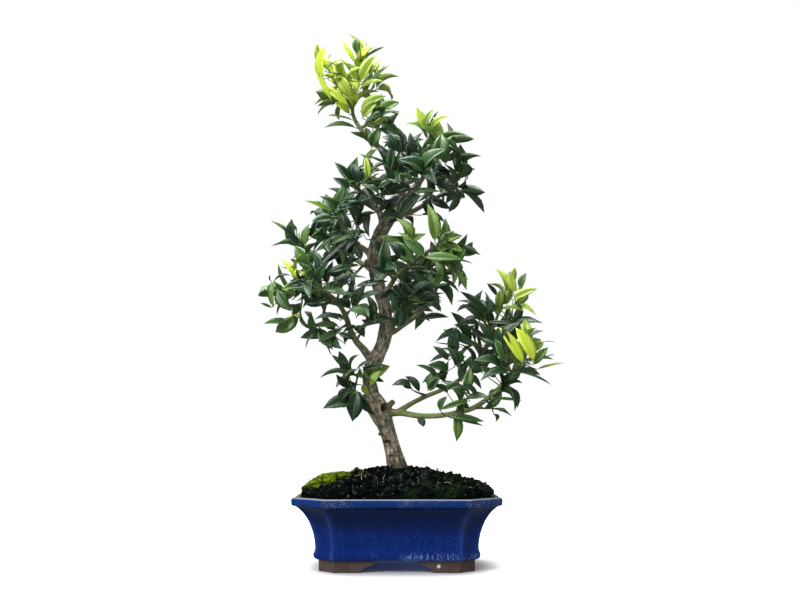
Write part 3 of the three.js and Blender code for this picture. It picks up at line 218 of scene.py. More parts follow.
# Leaves that show on the front: root x, y, z, tip x, z and width in millimetres, and youth in hundredths.
FRONT_LEAVES = [
    (-75, -36, 488, -77, 522, 11, 95), (-67, -20, 470, -89, 508, 6, 90), (-74, -37, 496, -57, 511, 3, 50),
    (-42, -23, 521, -42, 537, 9, 40), (-37, -27, 516, -26, 528, 8, 100), (-43, -14, 513, -59, 537, 5, 90),
    (-39, -20, 515, -50, 536, 6, 85), (-36, -19, 516, -13, 529, 4, 30), (-38, -30, 488, -19, 513, 12, 85),
    (-32, -5, 495, -10, 516, 4, 50), (-46, -28, 473, -63, 493, 12, 92), (-49, -16, 466, -81, 488, 9, 88),
    (-43, -21, 477, -53, 493, 10, 95), (-41, -4, 487, -14, 498, 8, 80), (-38, -28, 457, -11, 472, 11, 75),
    (-36, -24, 442, 3, 457, 11, 25), (-26, -21, 439, -8, 452, 8, 68), (-44, -4, 455, -73, 461, 6, 45),
    (-42, -5, 447, -76, 447, 8, 28), (-26, -29, 418, -21, 439, 12, 38), (-15, -30, 430, 14, 421, 7, 10),
    (-46, -5, 469, -64, 480, 12, 82), (-42, -12, 471, -50, 487, 9, 88), (-36, -33, 448, -19, 466, 10, 72),
    (-55, -9, 476, -73, 483, 8, 85), (-49, -6, 461, -67, 472, 9, 78), (27, -32, 439, 21, 461, 7, 85),
    (29, -32, 437, 34, 459, 8, 70), (34, -31, 436, 51, 453, 8, 88), (31, -37, 425, 18, 442, 8, 40),
    (36, -30, 426, 54, 435, 6, 60), (8, -36, 415, 5, 431, 6, 8), (15, -32, 407, 23, 429, 9, 30),
    (50, -28, 401, 47, 426, 12, 35), (8, -32, 369, 43, 375, 8, 22), (-2, -41, 413, -5, 427, 7, 15),
    (-9, -55, 394, -25, 386, 6, 12), (18, -19, 362, -8, 368, 9, 10), (34, 7, 373, 57, 365, 9, 15),
    (23, -20, 351, 49, 343, 9, 8), (1, -29, 352, -17, 343, 10, 12), (-46, -30, 384, -62, 404, 6, 8),
    (-35, -45, 375, -19, 394, 11, 38), (-29, -51, 379, -31, 403, 7, 78), (-47, -42, 372, -62, 386, 8, 14),
    (-17, -53, 364, -34, 372, 8, 20), (-66, -29, 353, -93, 364, 6, 58), (-59, -35, 347, -45, 364, 10, 15),
    (-53, -27, 342, -76, 344, 8, 10), (-45, -39, 332, -56, 349, 7, 12), (-39, -32, 325, -64, 319, 6, 30),
    (-41, -29, 321, -71, 300, 6, 6), (-35, -26, 314, -52, 303, 5, 8), (-100, -25, 319, -128, 343, 6, 38),
    (-85, -42, 294, -101, 315, 13, 44), (-93, -22, 318, -90, 342, 12, 44), (-97, -31, 317, -112, 338, 6, 5),
    (-100, -35, 331, -107, 341, 4, 4), (-86, -20, 330, -82, 348, 6, 8), (-91, -18, 324, -85, 338, 6, 5),
    (-88, -26, 325, -75, 339, 3, 45), (-78, -42, 290, -84, 303, 7, 5), (-102, -46, 287, -113, 300, 7, 100),
    (-88, -42, 282, -103, 292, 8, 90), (-98, -45, 282, -99, 293, 5, 92), (-89, -59, 282, -83, 290, 5, 60),
    (-86, -42, 289, -77, 278, 9, 28), (-73, -53, 269, -89, 278, 7, 22), (-75, -42, 264, -107, 272, 6, 26),
    (-90, -40, 278, -109, 275, 7, 15), (-85, -45, 265, -98, 268, 8, 3), (-122, -35, 282, -123, 254, 12, 44),
    (-117, -50, 270, -106, 248, 13, 32), (-122, -42, 279, -105, 287, 6, 12),
    (-127, -26, 282, -128, 289, 2, 30), (-125, -26, 255, -136, 261, 3, 28), (-97, -30, 249, -106, 260, 9, 28),
    (-94, -39, 245, -107, 242, 9, 100), (-108, -22, 243, -132, 236, 7, 38), (-66, -39, 261, -90, 255, 9, 8),
    (-78, -43, 265, -94, 261, 6, 4), (-85, -46, 243, -91, 249, 5, 25), (-55, -38, 241, -81, 241, 10, 16),
    (-56, -37, 235, -84, 238, 7, 26), (-53, -36, 233, -77, 219, 8, 15), (-78, -34, 233, -64, 212, 12, 40),
    (-80, -30, 231, -92, 214, 4, 22), (-58, -36, 229, -41, 224, 6, 8), (-63, -32, 345, -83, 342, 9, 18),
    (-48, -19, 330, -84, 314, 9, 26), (-45, -26, 326, -79, 294, 9, 6), (-51, -16, 336, -76, 328, 4, 6),
    (-54, -50, 296, -70, 286, 3, 5), (-43, -34, 296, -66, 287, 7, 22), (-44, -48, 287, -60, 279, 8, 4),
    (-40, -34, 292, -43, 275, 5, 32), (-42, -49, 273, -9, 279, 7, 10), (-54, -40, 261, -40, 268, 11, 6),
    (-48, -44, 250, -28, 244, 10, 40), (-41, -33, 244, -19, 251, 7, 8), (-41, -31, 232, -6, 239, 6, 12),
    (-42, -21, 238, -34, 225, 9, 15), (-52, -21, 243, -72, 251, 9, 14), (-59, -47, 280, -29, 285, 8, 3),
    (-37, 2, 303, -66, 292, 7, 22), (-52, -30, 218, -39, 230, 8, 15), (-46, -44, 188, -75, 186, 7, 10),
    (-49, -36, 191, -65, 207, 6, 8), (-47, -34, 178, -39, 193, 13, 30), (-39, -34, 173, -46, 143, 17, 20),
    (-46, -39, 175, -55, 159, 10, 5), (-26, -34, 177, -15, 192, 11, 58), (-35, -18, 179, -26, 170, 7, 75),
    (-37, -27, 191, -7, 196, 6, 12), (-41, -28, 192, -19, 203, 6, 15), (-31, -27, 185, -12, 183, 6, 20),
    (37, -59, 315, 32, 353, 13, 56), (17, -52, 296, -6, 318, 14, 46), (27, -57, 301, 8, 321, 12, 44),
    (26, -57, 301, 64, 298, 10, 42), (42, -52, 312, 58, 326, 9, 25), (40, -43, 311, 54, 314, 9, 40),
    (47, -62, 296, 74, 295, 8, 35), (23, -40, 291, 54, 281, 8, 15), (13, -50, 292, -12, 297, 7, 20),
    (8, -35, 262, -4, 277, 8, 12), (24, -10, 245, 52, 249, 9, 20), (2, -47, 249, -6, 264, 7, 10),
    (-2, -34, 272, -17, 262, 6, 10), (28, -39, 293, 40, 274, 8, 28), (-32, -37, 359, -63, 347, 10, 14),
    (-37, -45, 377, -47, 397, 12, 8), (-26, -51, 379, -17, 387, 6, 68), (-32, -39, 374, -8, 382, 7, 25),
    (15, -33, 378, -12, 372, 8, 20), (-31, -37, 363, -21, 366, 5, 18), (-27, -24, 352, -29, 326, 9, 5),
    (-27, -24, 349, -45, 332, 4, 8), (23, -33, 371, 1, 343, 17, 11), (1, -28, 370, -10, 347, 13, 5),
    (14, 4, 365, 26, 378, 7, 35), (32, 7, 377, 38, 353, 13, 5), (29, -9, 376, 45, 365, 9, 6),
    (20, -34, 382, -8, 387, 8, 26), (29, -35, 386, 5, 400, 8, 12), (33, -36, 398, 14, 417, 5, 15),
    (32, -36, 394, 40, 407, 9, 8), (37, -36, 399, 60, 387, 9, 10), (35, -35, 386, 58, 382, 12, 13),
    (37, -35, 383, 60, 366, 8, 12), (41, -38, 402, 42, 430, 17, 42), (51, -30, 404, 62, 416, 7, 30),
    (53, -30, 406, 56, 421, 5, 6), (21, -38, 406, 14, 432, 9, 5), (6, -30, 408, 1, 430, 7, 22),
    (-1, -40, 411, -9, 431, 11, 5), (3, -26, 397, -17, 401, 6, 20), (15, -41, 395, 5, 412, 12, 3),
    (23, -39, 395, 15, 411, 11, 4), (-35, -32, 327, -51, 308, 12, 3), (-39, -29, 324, -47, 301, 9, 3),
    (-31, -32, 324, -16, 307, 9, 8), (7, -24, 347, -10, 342, 4, 22), (6, -1, 351, 17, 343, 8, 20),
    (7, -54, 297, -9, 318, 11, 7), (3, -49, 297, -22, 306, 7, 22), (4, -35, 292, 36, 292, 4, 12),
    (4, -34, 288, 31, 277, 7, 14), (2, -35, 281, 11, 260, 5, 5), (-3, -34, 279, 9, 261, 4, 4),
    (5, -44, 281, 17, 264, 4, 8), (15, -45, 266, 37, 277, 10, 8), (18, -38, 261, 44, 266, 9, 12),
    (17, -33, 248, 44, 260, 11, 18), (1, -32, 233, 4, 261, 13, 13), (12, -50, 310, 1, 327, 10, 46),
    (-7, -53, 287, -19, 278, 6, 20), (-19, -61, 369, 3, 375, 7, 14), (-13, -42, 357, -25, 365, 8, 5),
    (-17, -28, 352, -5, 364, 9, 5), (110, -10, 271, 99, 297, 10, 80), (118, -16, 271, 117, 294, 10, 84),
    (125, -22, 274, 130, 291, 8, 40), (115, -29, 263, 139, 275, 9, 78), (105, 2, 258, 104, 277, 10, 66),
    (103, 1, 270, 95, 285, 5, 6), (104, -22, 253, 127, 254, 6, 68), (90, -9, 247, 64, 273, 9, 18),
    (99, -20, 251, 87, 265, 9, 12), (84, -15, 242, 67, 259, 8, 12), (90, -24, 241, 120, 241, 4, 20),
    (84, -24, 237, 59, 238, 8, 15), (79, -16, 217, 49, 238, 9, 16), (69, -16, 215, 37, 221, 2, 10),
    (101, -52, 200, 84, 222, 8, 2), (91, -19, 218, 73, 235, 10, 16), (105, -61, 197, 93, 221, 10, 28),
    (106, -66, 202, 101, 233, 8, 20), (121, -63, 195, 103, 234, 12, 100), (131, -65, 198, 116, 232, 14, 100),
    (131, -43, 210, 123, 235, 6, 80), (114, -57, 219, 118, 239, 10, 8), (127, -51, 223, 142, 231, 7, 18),
    (134, -35, 210, 142, 222, 8, 70), (134, -33, 197, 150, 214, 9, 42), (142, -36, 219, 156, 220, 2, 20),
    (146, -35, 205, 156, 207, 2, 20), (137, -33, 193, 165, 200, 4, 72), (116, -56, 197, 107, 210, 7, 48),
    (110, -49, 188, 80, 184, 12, 8), (119, -54, 189, 148, 177, 7, 14), (112, -33, 182, 123, 178, 4, 25),
    (86, -18, 190, 71, 203, 10, 5), (52, -24, 202, 36, 217, 7, 14), (57, -32, 195, 51, 217, 9, 16),
    (66, -23, 201, 58, 215, 8, 10), (51, -20, 190, 31, 199, 11, 22), (33, -27, 172, 44, 186, 11, 30),
    (51, -24, 169, 35, 178, 7, 14), (70, -57, 165, 57, 178, 6, 15), (78, -52, 167, 64, 179, 6, 10),
    (71, -54, 162, 40, 153, 6, 38), (71, -45, 155, 53, 161, 8, 6), (91, -54, 156, 79, 160, 6, 15),
    (97, -49, 154, 106, 153, 4, 32), (94, -40, 150, 96, 142, 6, 20), (90, -45, 164, 121, 163, 4, 28),
    (49, -43, 148, 84, 141, 7, 36), (88, -55, 166, 97, 174, 6, 32), (30, -31, 172, 42, 186, 9, 26),
    (15, -27, 175, -5, 179, 10, 10), (45, -42, 147, 84, 142, 5, 35), (24, -20, 148, 24, 137, 8, 25),
    (42, -38, 152, 50, 166, 8, 30), (95, -21, 218, 81, 243, 9, 15), (97, -48, 184, 80, 195, 8, 16),
    (105, -49, 181, 119, 184, 6, 18), (62, -64, 177, 47, 170, 7, 18),
]


def unit(vector: np.ndarray) -> np.ndarray:
    """Return a vector scaled to length 1."""
    return vector / np.linalg.norm(vector)


def smoothstep(value: np.ndarray | float, low: float, high: float) -> np.ndarray | float:
    """Rise smoothly from 0 at low to 1 at high.

    Args:
        value: Numbers to map.
        low: Where the rise begins.
        high: Where it ends.

    Returns:
        The mapped numbers.
    """
    share = np.clip((value - low) / (high - low), 0.0, 1.0)
    return share * share * (3.0 - 2.0 * share)


class PotFrame:
    """The plan's own frame, in millimetres from the middle of the pot's footprint."""

    def __init__(self, pot_node: str) -> None:
        """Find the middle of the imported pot.

        Args:
            pot_node: Name of the pot's node.
        """
        low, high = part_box(pot_node)
        middle = (low + high) / 2
        self.shift = np.array([middle.x, middle.y, 0.0]) / MM

    def to_scene(self, points: np.ndarray | Sequence) -> np.ndarray:
        """Turn plan millimetres into scene metres."""
        return (np.asarray(points, float) + self.shift) * MM

    def node_points(self, node: str) -> np.ndarray:
        """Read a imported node's vertices in plan millimetres."""
        return np.array([v.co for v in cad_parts[node].data.vertices], float) / MM - self.shift


class Signal:
    """A node socket that Python's operators join to others through Math nodes."""

    def __init__(self, graph: "Graph", socket: bpy.types.NodeSocket) -> None:
        """Wrap a socket of a graph."""
        self.graph = graph
        self.socket = socket

    def _maths(self, operation: str, *values: "Signal | float") -> "Signal":
        """Add one Math node over the given values."""
        return self.graph.node("ShaderNodeMath", {"operation": operation}, dict(enumerate(values)))

    def __add__(self, other: "Signal | float") -> "Signal":
        """Add."""
        return self._maths("ADD", self, other)

    __radd__ = __add__

    def __sub__(self, other: "Signal | float") -> "Signal":
        """Subtract."""
        return self._maths("SUBTRACT", self, other)

    def __rsub__(self, other: float) -> "Signal":
        """Subtract from a number."""
        return self._maths("SUBTRACT", other, self)

    def __mul__(self, other: "Signal | float") -> "Signal":
        """Multiply."""
        return self._maths("MULTIPLY", self, other)

    __rmul__ = __mul__

    def __pow__(self, other: float) -> "Signal":
        """Raise to a power."""
        return self._maths("POWER", self, other)

    def __abs__(self) -> "Signal":
        """Drop the sign."""
        return self._maths("ABSOLUTE", self)

    def sine(self) -> "Signal":
        """Take the sine of an angle in radians."""
        return self._maths("SINE", self)

    def most(self, other: "Signal | float") -> "Signal":
        """Take the larger of two."""
        return self._maths("MAXIMUM", self, other)

    def step(self, low: float, high: float) -> "Signal":
        """Rise smoothly from 0 at low to 1 at high, or fall where low is the larger."""
        flipped = low > high
        first, last = (high, low) if flipped else (low, high)
        ends = {"To Min": 1.0, "To Max": 0.0} if flipped else {"To Min": 0.0, "To Max": 1.0}
        values = {"Value": self, "From Min": first, "From Max": last, **ends}
        return self.graph.node("ShaderNodeMapRange", {"interpolation_type": "SMOOTHSTEP"}, values)


class Graph:
    """A node tree with one method that adds any node."""

    def __init__(self, tree: bpy.types.NodeTree) -> None:
        """Wrap an empty tree."""
        self.tree = tree

    def node(
        self,
        kind: str,
        settings: dict[str, Any] | None = None,
        values: dict[str | int, Any] | None = None,
        output: str | int = 0,
    ) -> Signal:
        """Add a node.

        Args:
            kind: The node's type.
            settings: Its properties, set first; "stops" are a ramp's (place, colour) pairs.
            values: Numbers, colours, data or links of its sockets, by name or by place.
            output: Name or place of the output that is wanted.

        Returns:
            The output as a signal.
        """
        made = self.tree.nodes.new(kind)
        for name, setting in (settings or {}).items():
            if name == "stops":
                self._set_stops(made.color_ramp, setting)
            else:
                setattr(made, name, setting)
        for key, value in (values or {}).items():
            socket = self._socket(made.inputs, key)
            if isinstance(value, Signal):
                self.tree.links.new(value.socket, socket)
            else:
                socket.default_value = value
        return Signal(self, self._socket(made.outputs, output))

    def end(self, kind: str, result: Signal, socket: str) -> None:
        """Link the result to a new output node."""
        output = self.tree.nodes.new(kind)
        self.tree.links.new(result.socket, output.inputs[socket])

    @staticmethod
    def _socket(sockets: Any, key: str | int) -> bpy.types.NodeSocket:
        """Find a socket that is in use, by name or by place."""
        live = [socket for socket in sockets if socket.enabled]
        return live[key] if isinstance(key, int) else next(s for s in live if s.name == key)

    @staticmethod
    def _set_stops(ramp: bpy.types.ColorRamp, stops: Sequence[tuple[float, tuple]]) -> None:
        """Give a ramp its stops in order."""
        while len(ramp.elements) < len(stops):
            ramp.elements.new(1.0)
        for element, (place, colour) in zip(ramp.elements, stops, strict=True):
            element.position = place
            element.color = (*colour, 1.0)


class Shader(Graph):
    """A material's nodes."""

    def __init__(self, name: str) -> None:
        """Start an empty material.

        Args:
            name: The material's name.
        """
        self.material = bpy.data.materials.new(name)
        self.material.use_nodes = True
        self.material.node_tree.nodes.clear()
        super().__init__(self.material.node_tree)

    def place(self) -> Signal:
        """Return the place on the piece, in metres."""
        return self.node("ShaderNodeTexCoord", output="Object")

    def attribute(self, name: str, output: str = "Fac") -> Signal:
        """Read a named attribute of the mesh."""
        return self.node("ShaderNodeAttribute", {"attribute_name": name}, output=output)

    def part(self, vector: Signal, axis: str) -> Signal:
        """Take the X, Y or Z of a vector."""
        return self.node("ShaderNodeSeparateXYZ", values={0: vector}, output=axis)

    def scaled(self, vector: Signal, scale: tuple[float, float, float]) -> Signal:
        """Scale a vector axis by axis."""
        return self.node("ShaderNodeVectorMath", {"operation": "MULTIPLY"}, {0: vector, 1: scale})

    def noise(self, vector: Signal, scale: float, detail: float = 3.0, warp: float = 0.0) -> Signal:
        """Add fractal noise.

        Args:
            vector: Where it is read.
            scale: Waves in a metre.
            detail: Octaves.
            warp: How far the noise is bent by itself.

        Returns:
            The noise from 0 to 1.
        """
        values = {"Vector": vector, "Scale": scale, "Detail": detail, "Distortion": warp}
        return self.node("ShaderNodeTexNoise", values=values)

    def cells(self, vector: Signal, scale: float) -> Signal:
        """Add round cells, and return how far the middle of the nearest one is."""
        return self.node("ShaderNodeTexVoronoi", None, {"Vector": vector, "Scale": scale}, "Distance")

    def mix(self, share: Signal | float, low: Any, high: Any) -> Signal:
        """Mix two colours.

        Args:
            share: 0 for low, 1 for high.
            low: A colour of three numbers, or a signal.
            high: A colour of three numbers, or a signal.

        Returns:
            The colour.
        """
        colours = [c if isinstance(c, Signal) else (*c, 1.0) for c in (low, high)]
        values = {"Factor": share, "A": colours[0], "B": colours[1]}
        return self.node("ShaderNodeMix", {"data_type": "RGBA"}, values)

    def ramp(self, share: Signal, stops: Sequence[tuple[float, tuple]]) -> Signal:
        """Read a colour ramp."""
        return self.node("ShaderNodeValToRGB", {"stops": stops}, {"Fac": share}, "Color")

    def bump(self, height: Signal, depth: float, strength: float = 1.0) -> Signal:
        """Turn a height from 0 to 1 into a normal.

        Args:
            height: The relief.
            depth: What a height of 1 stands for, in metres.
            strength: Share of the relief that shows.

        Returns:
            The normal.
        """
        values = {"Strength": strength, "Distance": depth, "Height": height}
        return self.node("ShaderNodeBump", values=values, output="Normal")

    def finish(
        self, colour: Any, roughness: Signal | float, normal: Signal | None = None, **more: Any
    ) -> None:
        """Join everything into the surface.

        Args:
            colour: Base colour, three numbers or a signal.
            roughness: Roughness.
            normal: Normal, where there is relief.
            more: Other sockets of the shader, with underscores for spaces.
        """
        values = {"Base Color": colour if isinstance(colour, Signal) else (*colour, 1.0)}
        values["Roughness"] = roughness
        if normal:
            values["Normal"] = normal
        values |= {name.replace("_", " "): value for name, value in more.items()}
        self.end("ShaderNodeOutputMaterial", self.node("ShaderNodeBsdfPrincipled", values=values), "Surface")


class Recipe(Graph):
    """A Geometry Nodes tree with named inputs, which ends in Realize Instances and Set Material."""

    def __init__(self, name: str) -> None:
        """Start a tree that takes in one geometry.

        Args:
            name: The tree's name.
        """
        super().__init__(bpy.data.node_groups.new(name, "GeometryNodeTree"))
        self.tree.interface.new_socket("Geometry", in_out="INPUT", socket_type="NodeSocketGeometry")
        self.tree.interface.new_socket("Geometry", in_out="OUTPUT", socket_type="NodeSocketGeometry")
        self.entry = self.tree.nodes.new("NodeGroupInput")
        self.geometry = Signal(self, self.entry.outputs["Geometry"])

    def input(self, name: str, kind: str, value: Any = None) -> Signal:
        """Add a named input.

        Args:
            name: The input's name.
            kind: Float, Int, Collection, Material, or another socket type's last word.
            value: What it holds unless a piece says otherwise.

        Returns:
            The input as a signal.
        """
        socket = self.tree.interface.new_socket(name, in_out="INPUT", socket_type=f"NodeSocket{kind}")
        if value is not None:
            socket.default_value = value
        return Signal(self, self.entry.outputs[name])

    def named(self, name: str, kind: str = "FLOAT") -> Signal:
        """Read a named attribute of the geometry."""
        return self.node("GeometryNodeInputNamedAttribute", {"data_type": kind}, {"Name": name})

    def store(self, geometry: Signal, name: str, value: Signal) -> Signal:
        """Store a number on each point as a named attribute."""
        settings = {"data_type": "FLOAT", "domain": "POINT"}
        values = {"Geometry": geometry, "Name": name, "Value": value}
        return self.node("GeometryNodeStoreNamedAttribute", settings, values)

    def random(self, seed: Signal, offset: int) -> Signal:
        """Draw a number from 0 to 1 for each element."""
        return self.node("FunctionNodeRandomValue", values={"Min": 0.0, "Max": 1.0, "Seed": seed + offset})

    def forms(self, collection: Signal) -> Signal:
        """Read a collection's objects as instances to choose from."""
        values = {"Collection": collection, "Separate Children": True, "Reset Children": True}
        return self.node("GeometryNodeCollectionInfo", values=values)

    def finish(self, geometry: Signal, material: Signal) -> None:
        """End the tree.

        Args:
            geometry: What it has made.
            material: The material that it is given.
        """
        real = self.node("GeometryNodeRealizeInstances", values={"Geometry": geometry})
        smooth = self.node("GeometryNodeSetShadeSmooth", values={"Geometry": real})
        dressed = self.node("GeometryNodeSetMaterial", values={"Geometry": smooth, "Material": material})
        self.end("NodeGroupOutput", dressed, "Geometry")

    def apply(self, piece: bpy.types.Object, values: dict[str, Any]) -> bpy.types.Object:
        """Run the tree on a piece and keep the result as its plain mesh.

        Args:
            piece: The object whose mesh the tree takes in.
            values: The named inputs.

        Returns:
            The same object.
        """
        modifier = piece.modifiers.new(self.tree.name, "NODES")
        modifier.node_group = self.tree
        for item in self.tree.interface.items_tree:
            if item.in_out == "INPUT" and item.name in values:
                modifier[item.identifier] = values[item.name]
        return bake_modifiers(piece)


def bake_modifiers(piece: bpy.types.Object) -> bpy.types.Object:
    """Replace a piece's mesh by its evaluated one, and drop its modifiers."""
    bpy.context.view_layer.update()
    depsgraph = bpy.context.evaluated_depsgraph_get()
    evaluated = piece.evaluated_get(depsgraph)
    mesh = bpy.data.meshes.new_from_object(evaluated, preserve_all_data_layers=True, depsgraph=depsgraph)
    piece.modifiers.clear()
    piece.data = mesh
    return piece


def make_form(name: str, points: Sequence, faces: Sequence, edges: Sequence = ()) -> bpy.types.Object:
    """Make a mesh object that the scene doesn't show.

    Args:
        name: The object's name.
        points: Its vertices.
        faces: Its faces, as lists of vertex numbers.
        edges: Loose edges.

    Returns:
        The object, at the origin.
    """
    mesh = bpy.data.meshes.new(name)
    mesh.from_pydata([tuple(p) for p in points], list(edges), list(faces))
    mesh.update()
    return bpy.data.objects.new(name, mesh)


def shown(piece: bpy.types.Object) -> bpy.types.Object:
    """Put an object in the scene."""
    bpy.context.scene.collection.objects.link(piece)
    return piece


def make_object(name: str, points: Sequence, faces: Sequence, edges: Sequence = ()) -> bpy.types.Object:
    """Make a mesh object in the scene from points in metres."""
    return shown(make_form(name, points, faces, edges))


def copy_object(name: str, source: bpy.types.Object) -> bpy.types.Object:
    """Put a copy of an object's mesh in the scene under a new name."""
    return shown(bpy.data.objects.new(name, source.data.copy()))


def set_attributes(piece: bpy.types.Object, **values: Any) -> None:
    """Store named numbers, whole numbers or vectors, one for each vertex.

    Args:
        piece: The mesh object.
        values: For each name as many values as the mesh has vertices.
    """
    for name, given in values.items():
        rows = np.asarray(given)
        vectors, whole = rows.ndim > 1, rows.dtype.kind == "i"
        kind = "FLOAT_VECTOR" if vectors else "INT" if whole else "FLOAT"
        layers = piece.data.attributes
        layer = layers.get(name) or layers.new(name, kind, "POINT")
        layer.data.foreach_set("vector" if vectors else "value", rows.ravel())


def vertex_array(piece: bpy.types.Object) -> np.ndarray:
    """Read a mesh object's vertices."""
    points = np.zeros(len(piece.data.vertices) * 3, np.float32)
    piece.data.vertices.foreach_get("co", points)
    return points.reshape(-1, 3).astype(float)


def normal_array(piece: bpy.types.Object) -> np.ndarray:
    """Read a mesh object's vertex normals."""
    normals = np.zeros(len(piece.data.vertices) * 3, np.float32)
    piece.data.vertex_normals.foreach_get("vector", normals)
    return normals.reshape(-1, 3).astype(float)


def move_vertices(piece: bpy.types.Object, points: np.ndarray) -> None:
    """Put a mesh object's vertices in new places."""
    piece.data.vertices.foreach_set("co", points.astype(np.float32).ravel())
    piece.data.update()


def dress(piece: bpy.types.Object, material: bpy.types.Material) -> None:
    """Give a piece one material and smooth shading."""
    piece.data.materials.clear()
    piece.data.materials.append(material)
    piece.data.polygons.foreach_set("use_smooth", [True] * len(piece.data.polygons))


def even_out(piece: bpy.types.Object, rounds: int, voxel: float = 0.0) -> bpy.types.Object:
    """Smooth a piece, and melt it into one skin first where a voxel size is given.

    Args:
        piece: The mesh object.
        rounds: How often it is smoothed.
        voxel: Size of the skin's faces in millimetres, or 0 for no melting.

    Returns:
        The piece.
    """
    if voxel:
        skin = piece.modifiers.new("skin", "REMESH")
        skin.mode, skin.voxel_size = "VOXEL", voxel * MM
    even = piece.modifiers.new("even", "SMOOTH")
    even.factor, even.iterations = 0.5, rounds
    return bake_modifiers(piece)


def point_faces_outwards(piece: bpy.types.Object) -> bpy.types.Object:
    """Recalculate a closed mesh's normals so that they point out."""
    work = bmesh.new()
    work.from_mesh(piece.data)
    bmesh.ops.recalc_face_normals(work, faces=work.faces)
    work.to_mesh(piece.data)
    work.free()
    return piece


def gather(name: str, forms: Sequence[bpy.types.Object]) -> bpy.types.Collection:
    """Put forms in a collection that the scene itself doesn't show."""
    collection = bpy.data.collections.new(name)
    for form in forms:
        collection.objects.link(form)
    return collection


def search_tree(points: Sequence) -> kdtree.KDTree:
    """Sort points so that the nearest ones are found quickly."""
    tree = kdtree.KDTree(len(points))
    for i, point in enumerate(points):
        tree.insert(point, i)
    tree.balance()
    return tree


def fractal(points: np.ndarray, size: float, octaves: int = 3) -> np.ndarray:
    """Read fractal noise at many points.

    Args:
        points: Where, in any unit.
        size: The length of its largest waves, in that unit.
        octaves: How many finer layers it has.

    Returns:
        Numbers round 0.
    """
    return np.array([noise.fractal(Vector(p / size), 1.0, 2.0, octaves) for p in points])


def ring_faces(rings: int, count: int, closed: bool = True) -> list[tuple[int, ...]]:
    """List the quads between rings of equal count, and a cap on each end if it is closed."""
    faces: list[tuple[int, ...]] = []
    for ring in range(rings - 1):
        for i in range(count):
            a = ring * count + i
            b = ring * count + (i + 1) % count
            faces.append((a, b, b + count, a + count))
    if closed:
        last = (rings - 1) * count
        faces.append(tuple(reversed(range(count))))
        faces.append(tuple(range(last, last + count)))
    return faces


def join_pieces(main: bpy.types.Object, *others: bpy.types.Object) -> bpy.types.Object:
    """Join mesh objects into the first, with their materials."""
    selected = [main, *others]
    with bpy.context.temp_override(active_object=main, selected_editable_objects=selected):
        bpy.ops.object.join()
    return main


def hand_in(piece: bpy.types.Object, slot: str, *nodes: str) -> None:
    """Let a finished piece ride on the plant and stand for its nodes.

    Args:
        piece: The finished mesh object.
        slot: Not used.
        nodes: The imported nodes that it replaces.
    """
    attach(piece, ROOT_BODY)
    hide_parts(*nodes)
    LOG.info("%s: %d faces", piece.name, len(piece.data.polygons))


class Draws:
    """The repeatable stream of random numbers by which the plant grew."""

    RANGE = 2**32
    SEED_STEP = 7919
    SEED_START = 104729
    FACTOR = 1664525
    STEP = 1013904223

    def __init__(self, seed: int) -> None:
        """Start the stream of a seed."""
        self.state = (seed * self.SEED_STEP + self.SEED_START) % self.RANGE
        self.next()
        self.next()

    def next(self) -> float:
        """Return the next number from 0 to 1."""
        self.state = (self.state * self.FACTOR + self.STEP) % self.RANGE
        return self.state / self.RANGE

    def between(self, low: float, high: float) -> float:
        """Return the next number in a range."""
        return low + (high - low) * self.next()

    def turn(self) -> float:
        """Return the next number as a turn in degrees."""
        return self.between(0, 360)


@dataclass(frozen=True)
class Bend:
    """A shoot's curve: a quadratic from its foot to its tip."""

    foot: np.ndarray
    middle: np.ndarray
    tip: np.ndarray

    def point(self, share: float) -> np.ndarray:
        """Return the point at a share of the way."""
        rest = 1.0 - share
        return rest * rest * self.foot + 2 * rest * share * self.middle + share * share * self.tip

    def along(self, share: float) -> np.ndarray:
        """Return the direction at a share of the way."""
        return unit((1.0 - share) * (self.middle - self.foot) + share * (self.tip - self.middle))

    def chord_point(self, share: float, steps: int) -> np.ndarray:
        """Return the point on the straight-sided stem that follows the curve."""
        step = min(int(share * steps), steps - 1)
        start = self.point(step / steps)
        return start + (self.point((step + 1) / steps) - start) * (share * steps - step)


@dataclass(frozen=True)
class LeafStand:
    """One leaf on its shoot: where it springs, how it points and lies, and its sizes in millimetres."""

    root: np.ndarray
    pointing: np.ndarray
    upper: np.ndarray
    length: float
    half_width: float
    droop: float
    share: float
    youth: float | None = None

    def tip(self) -> np.ndarray:
        """Return the leaf's tip."""
        return self.root + self.pointing * self.length - self.upper * self.length * self.droop


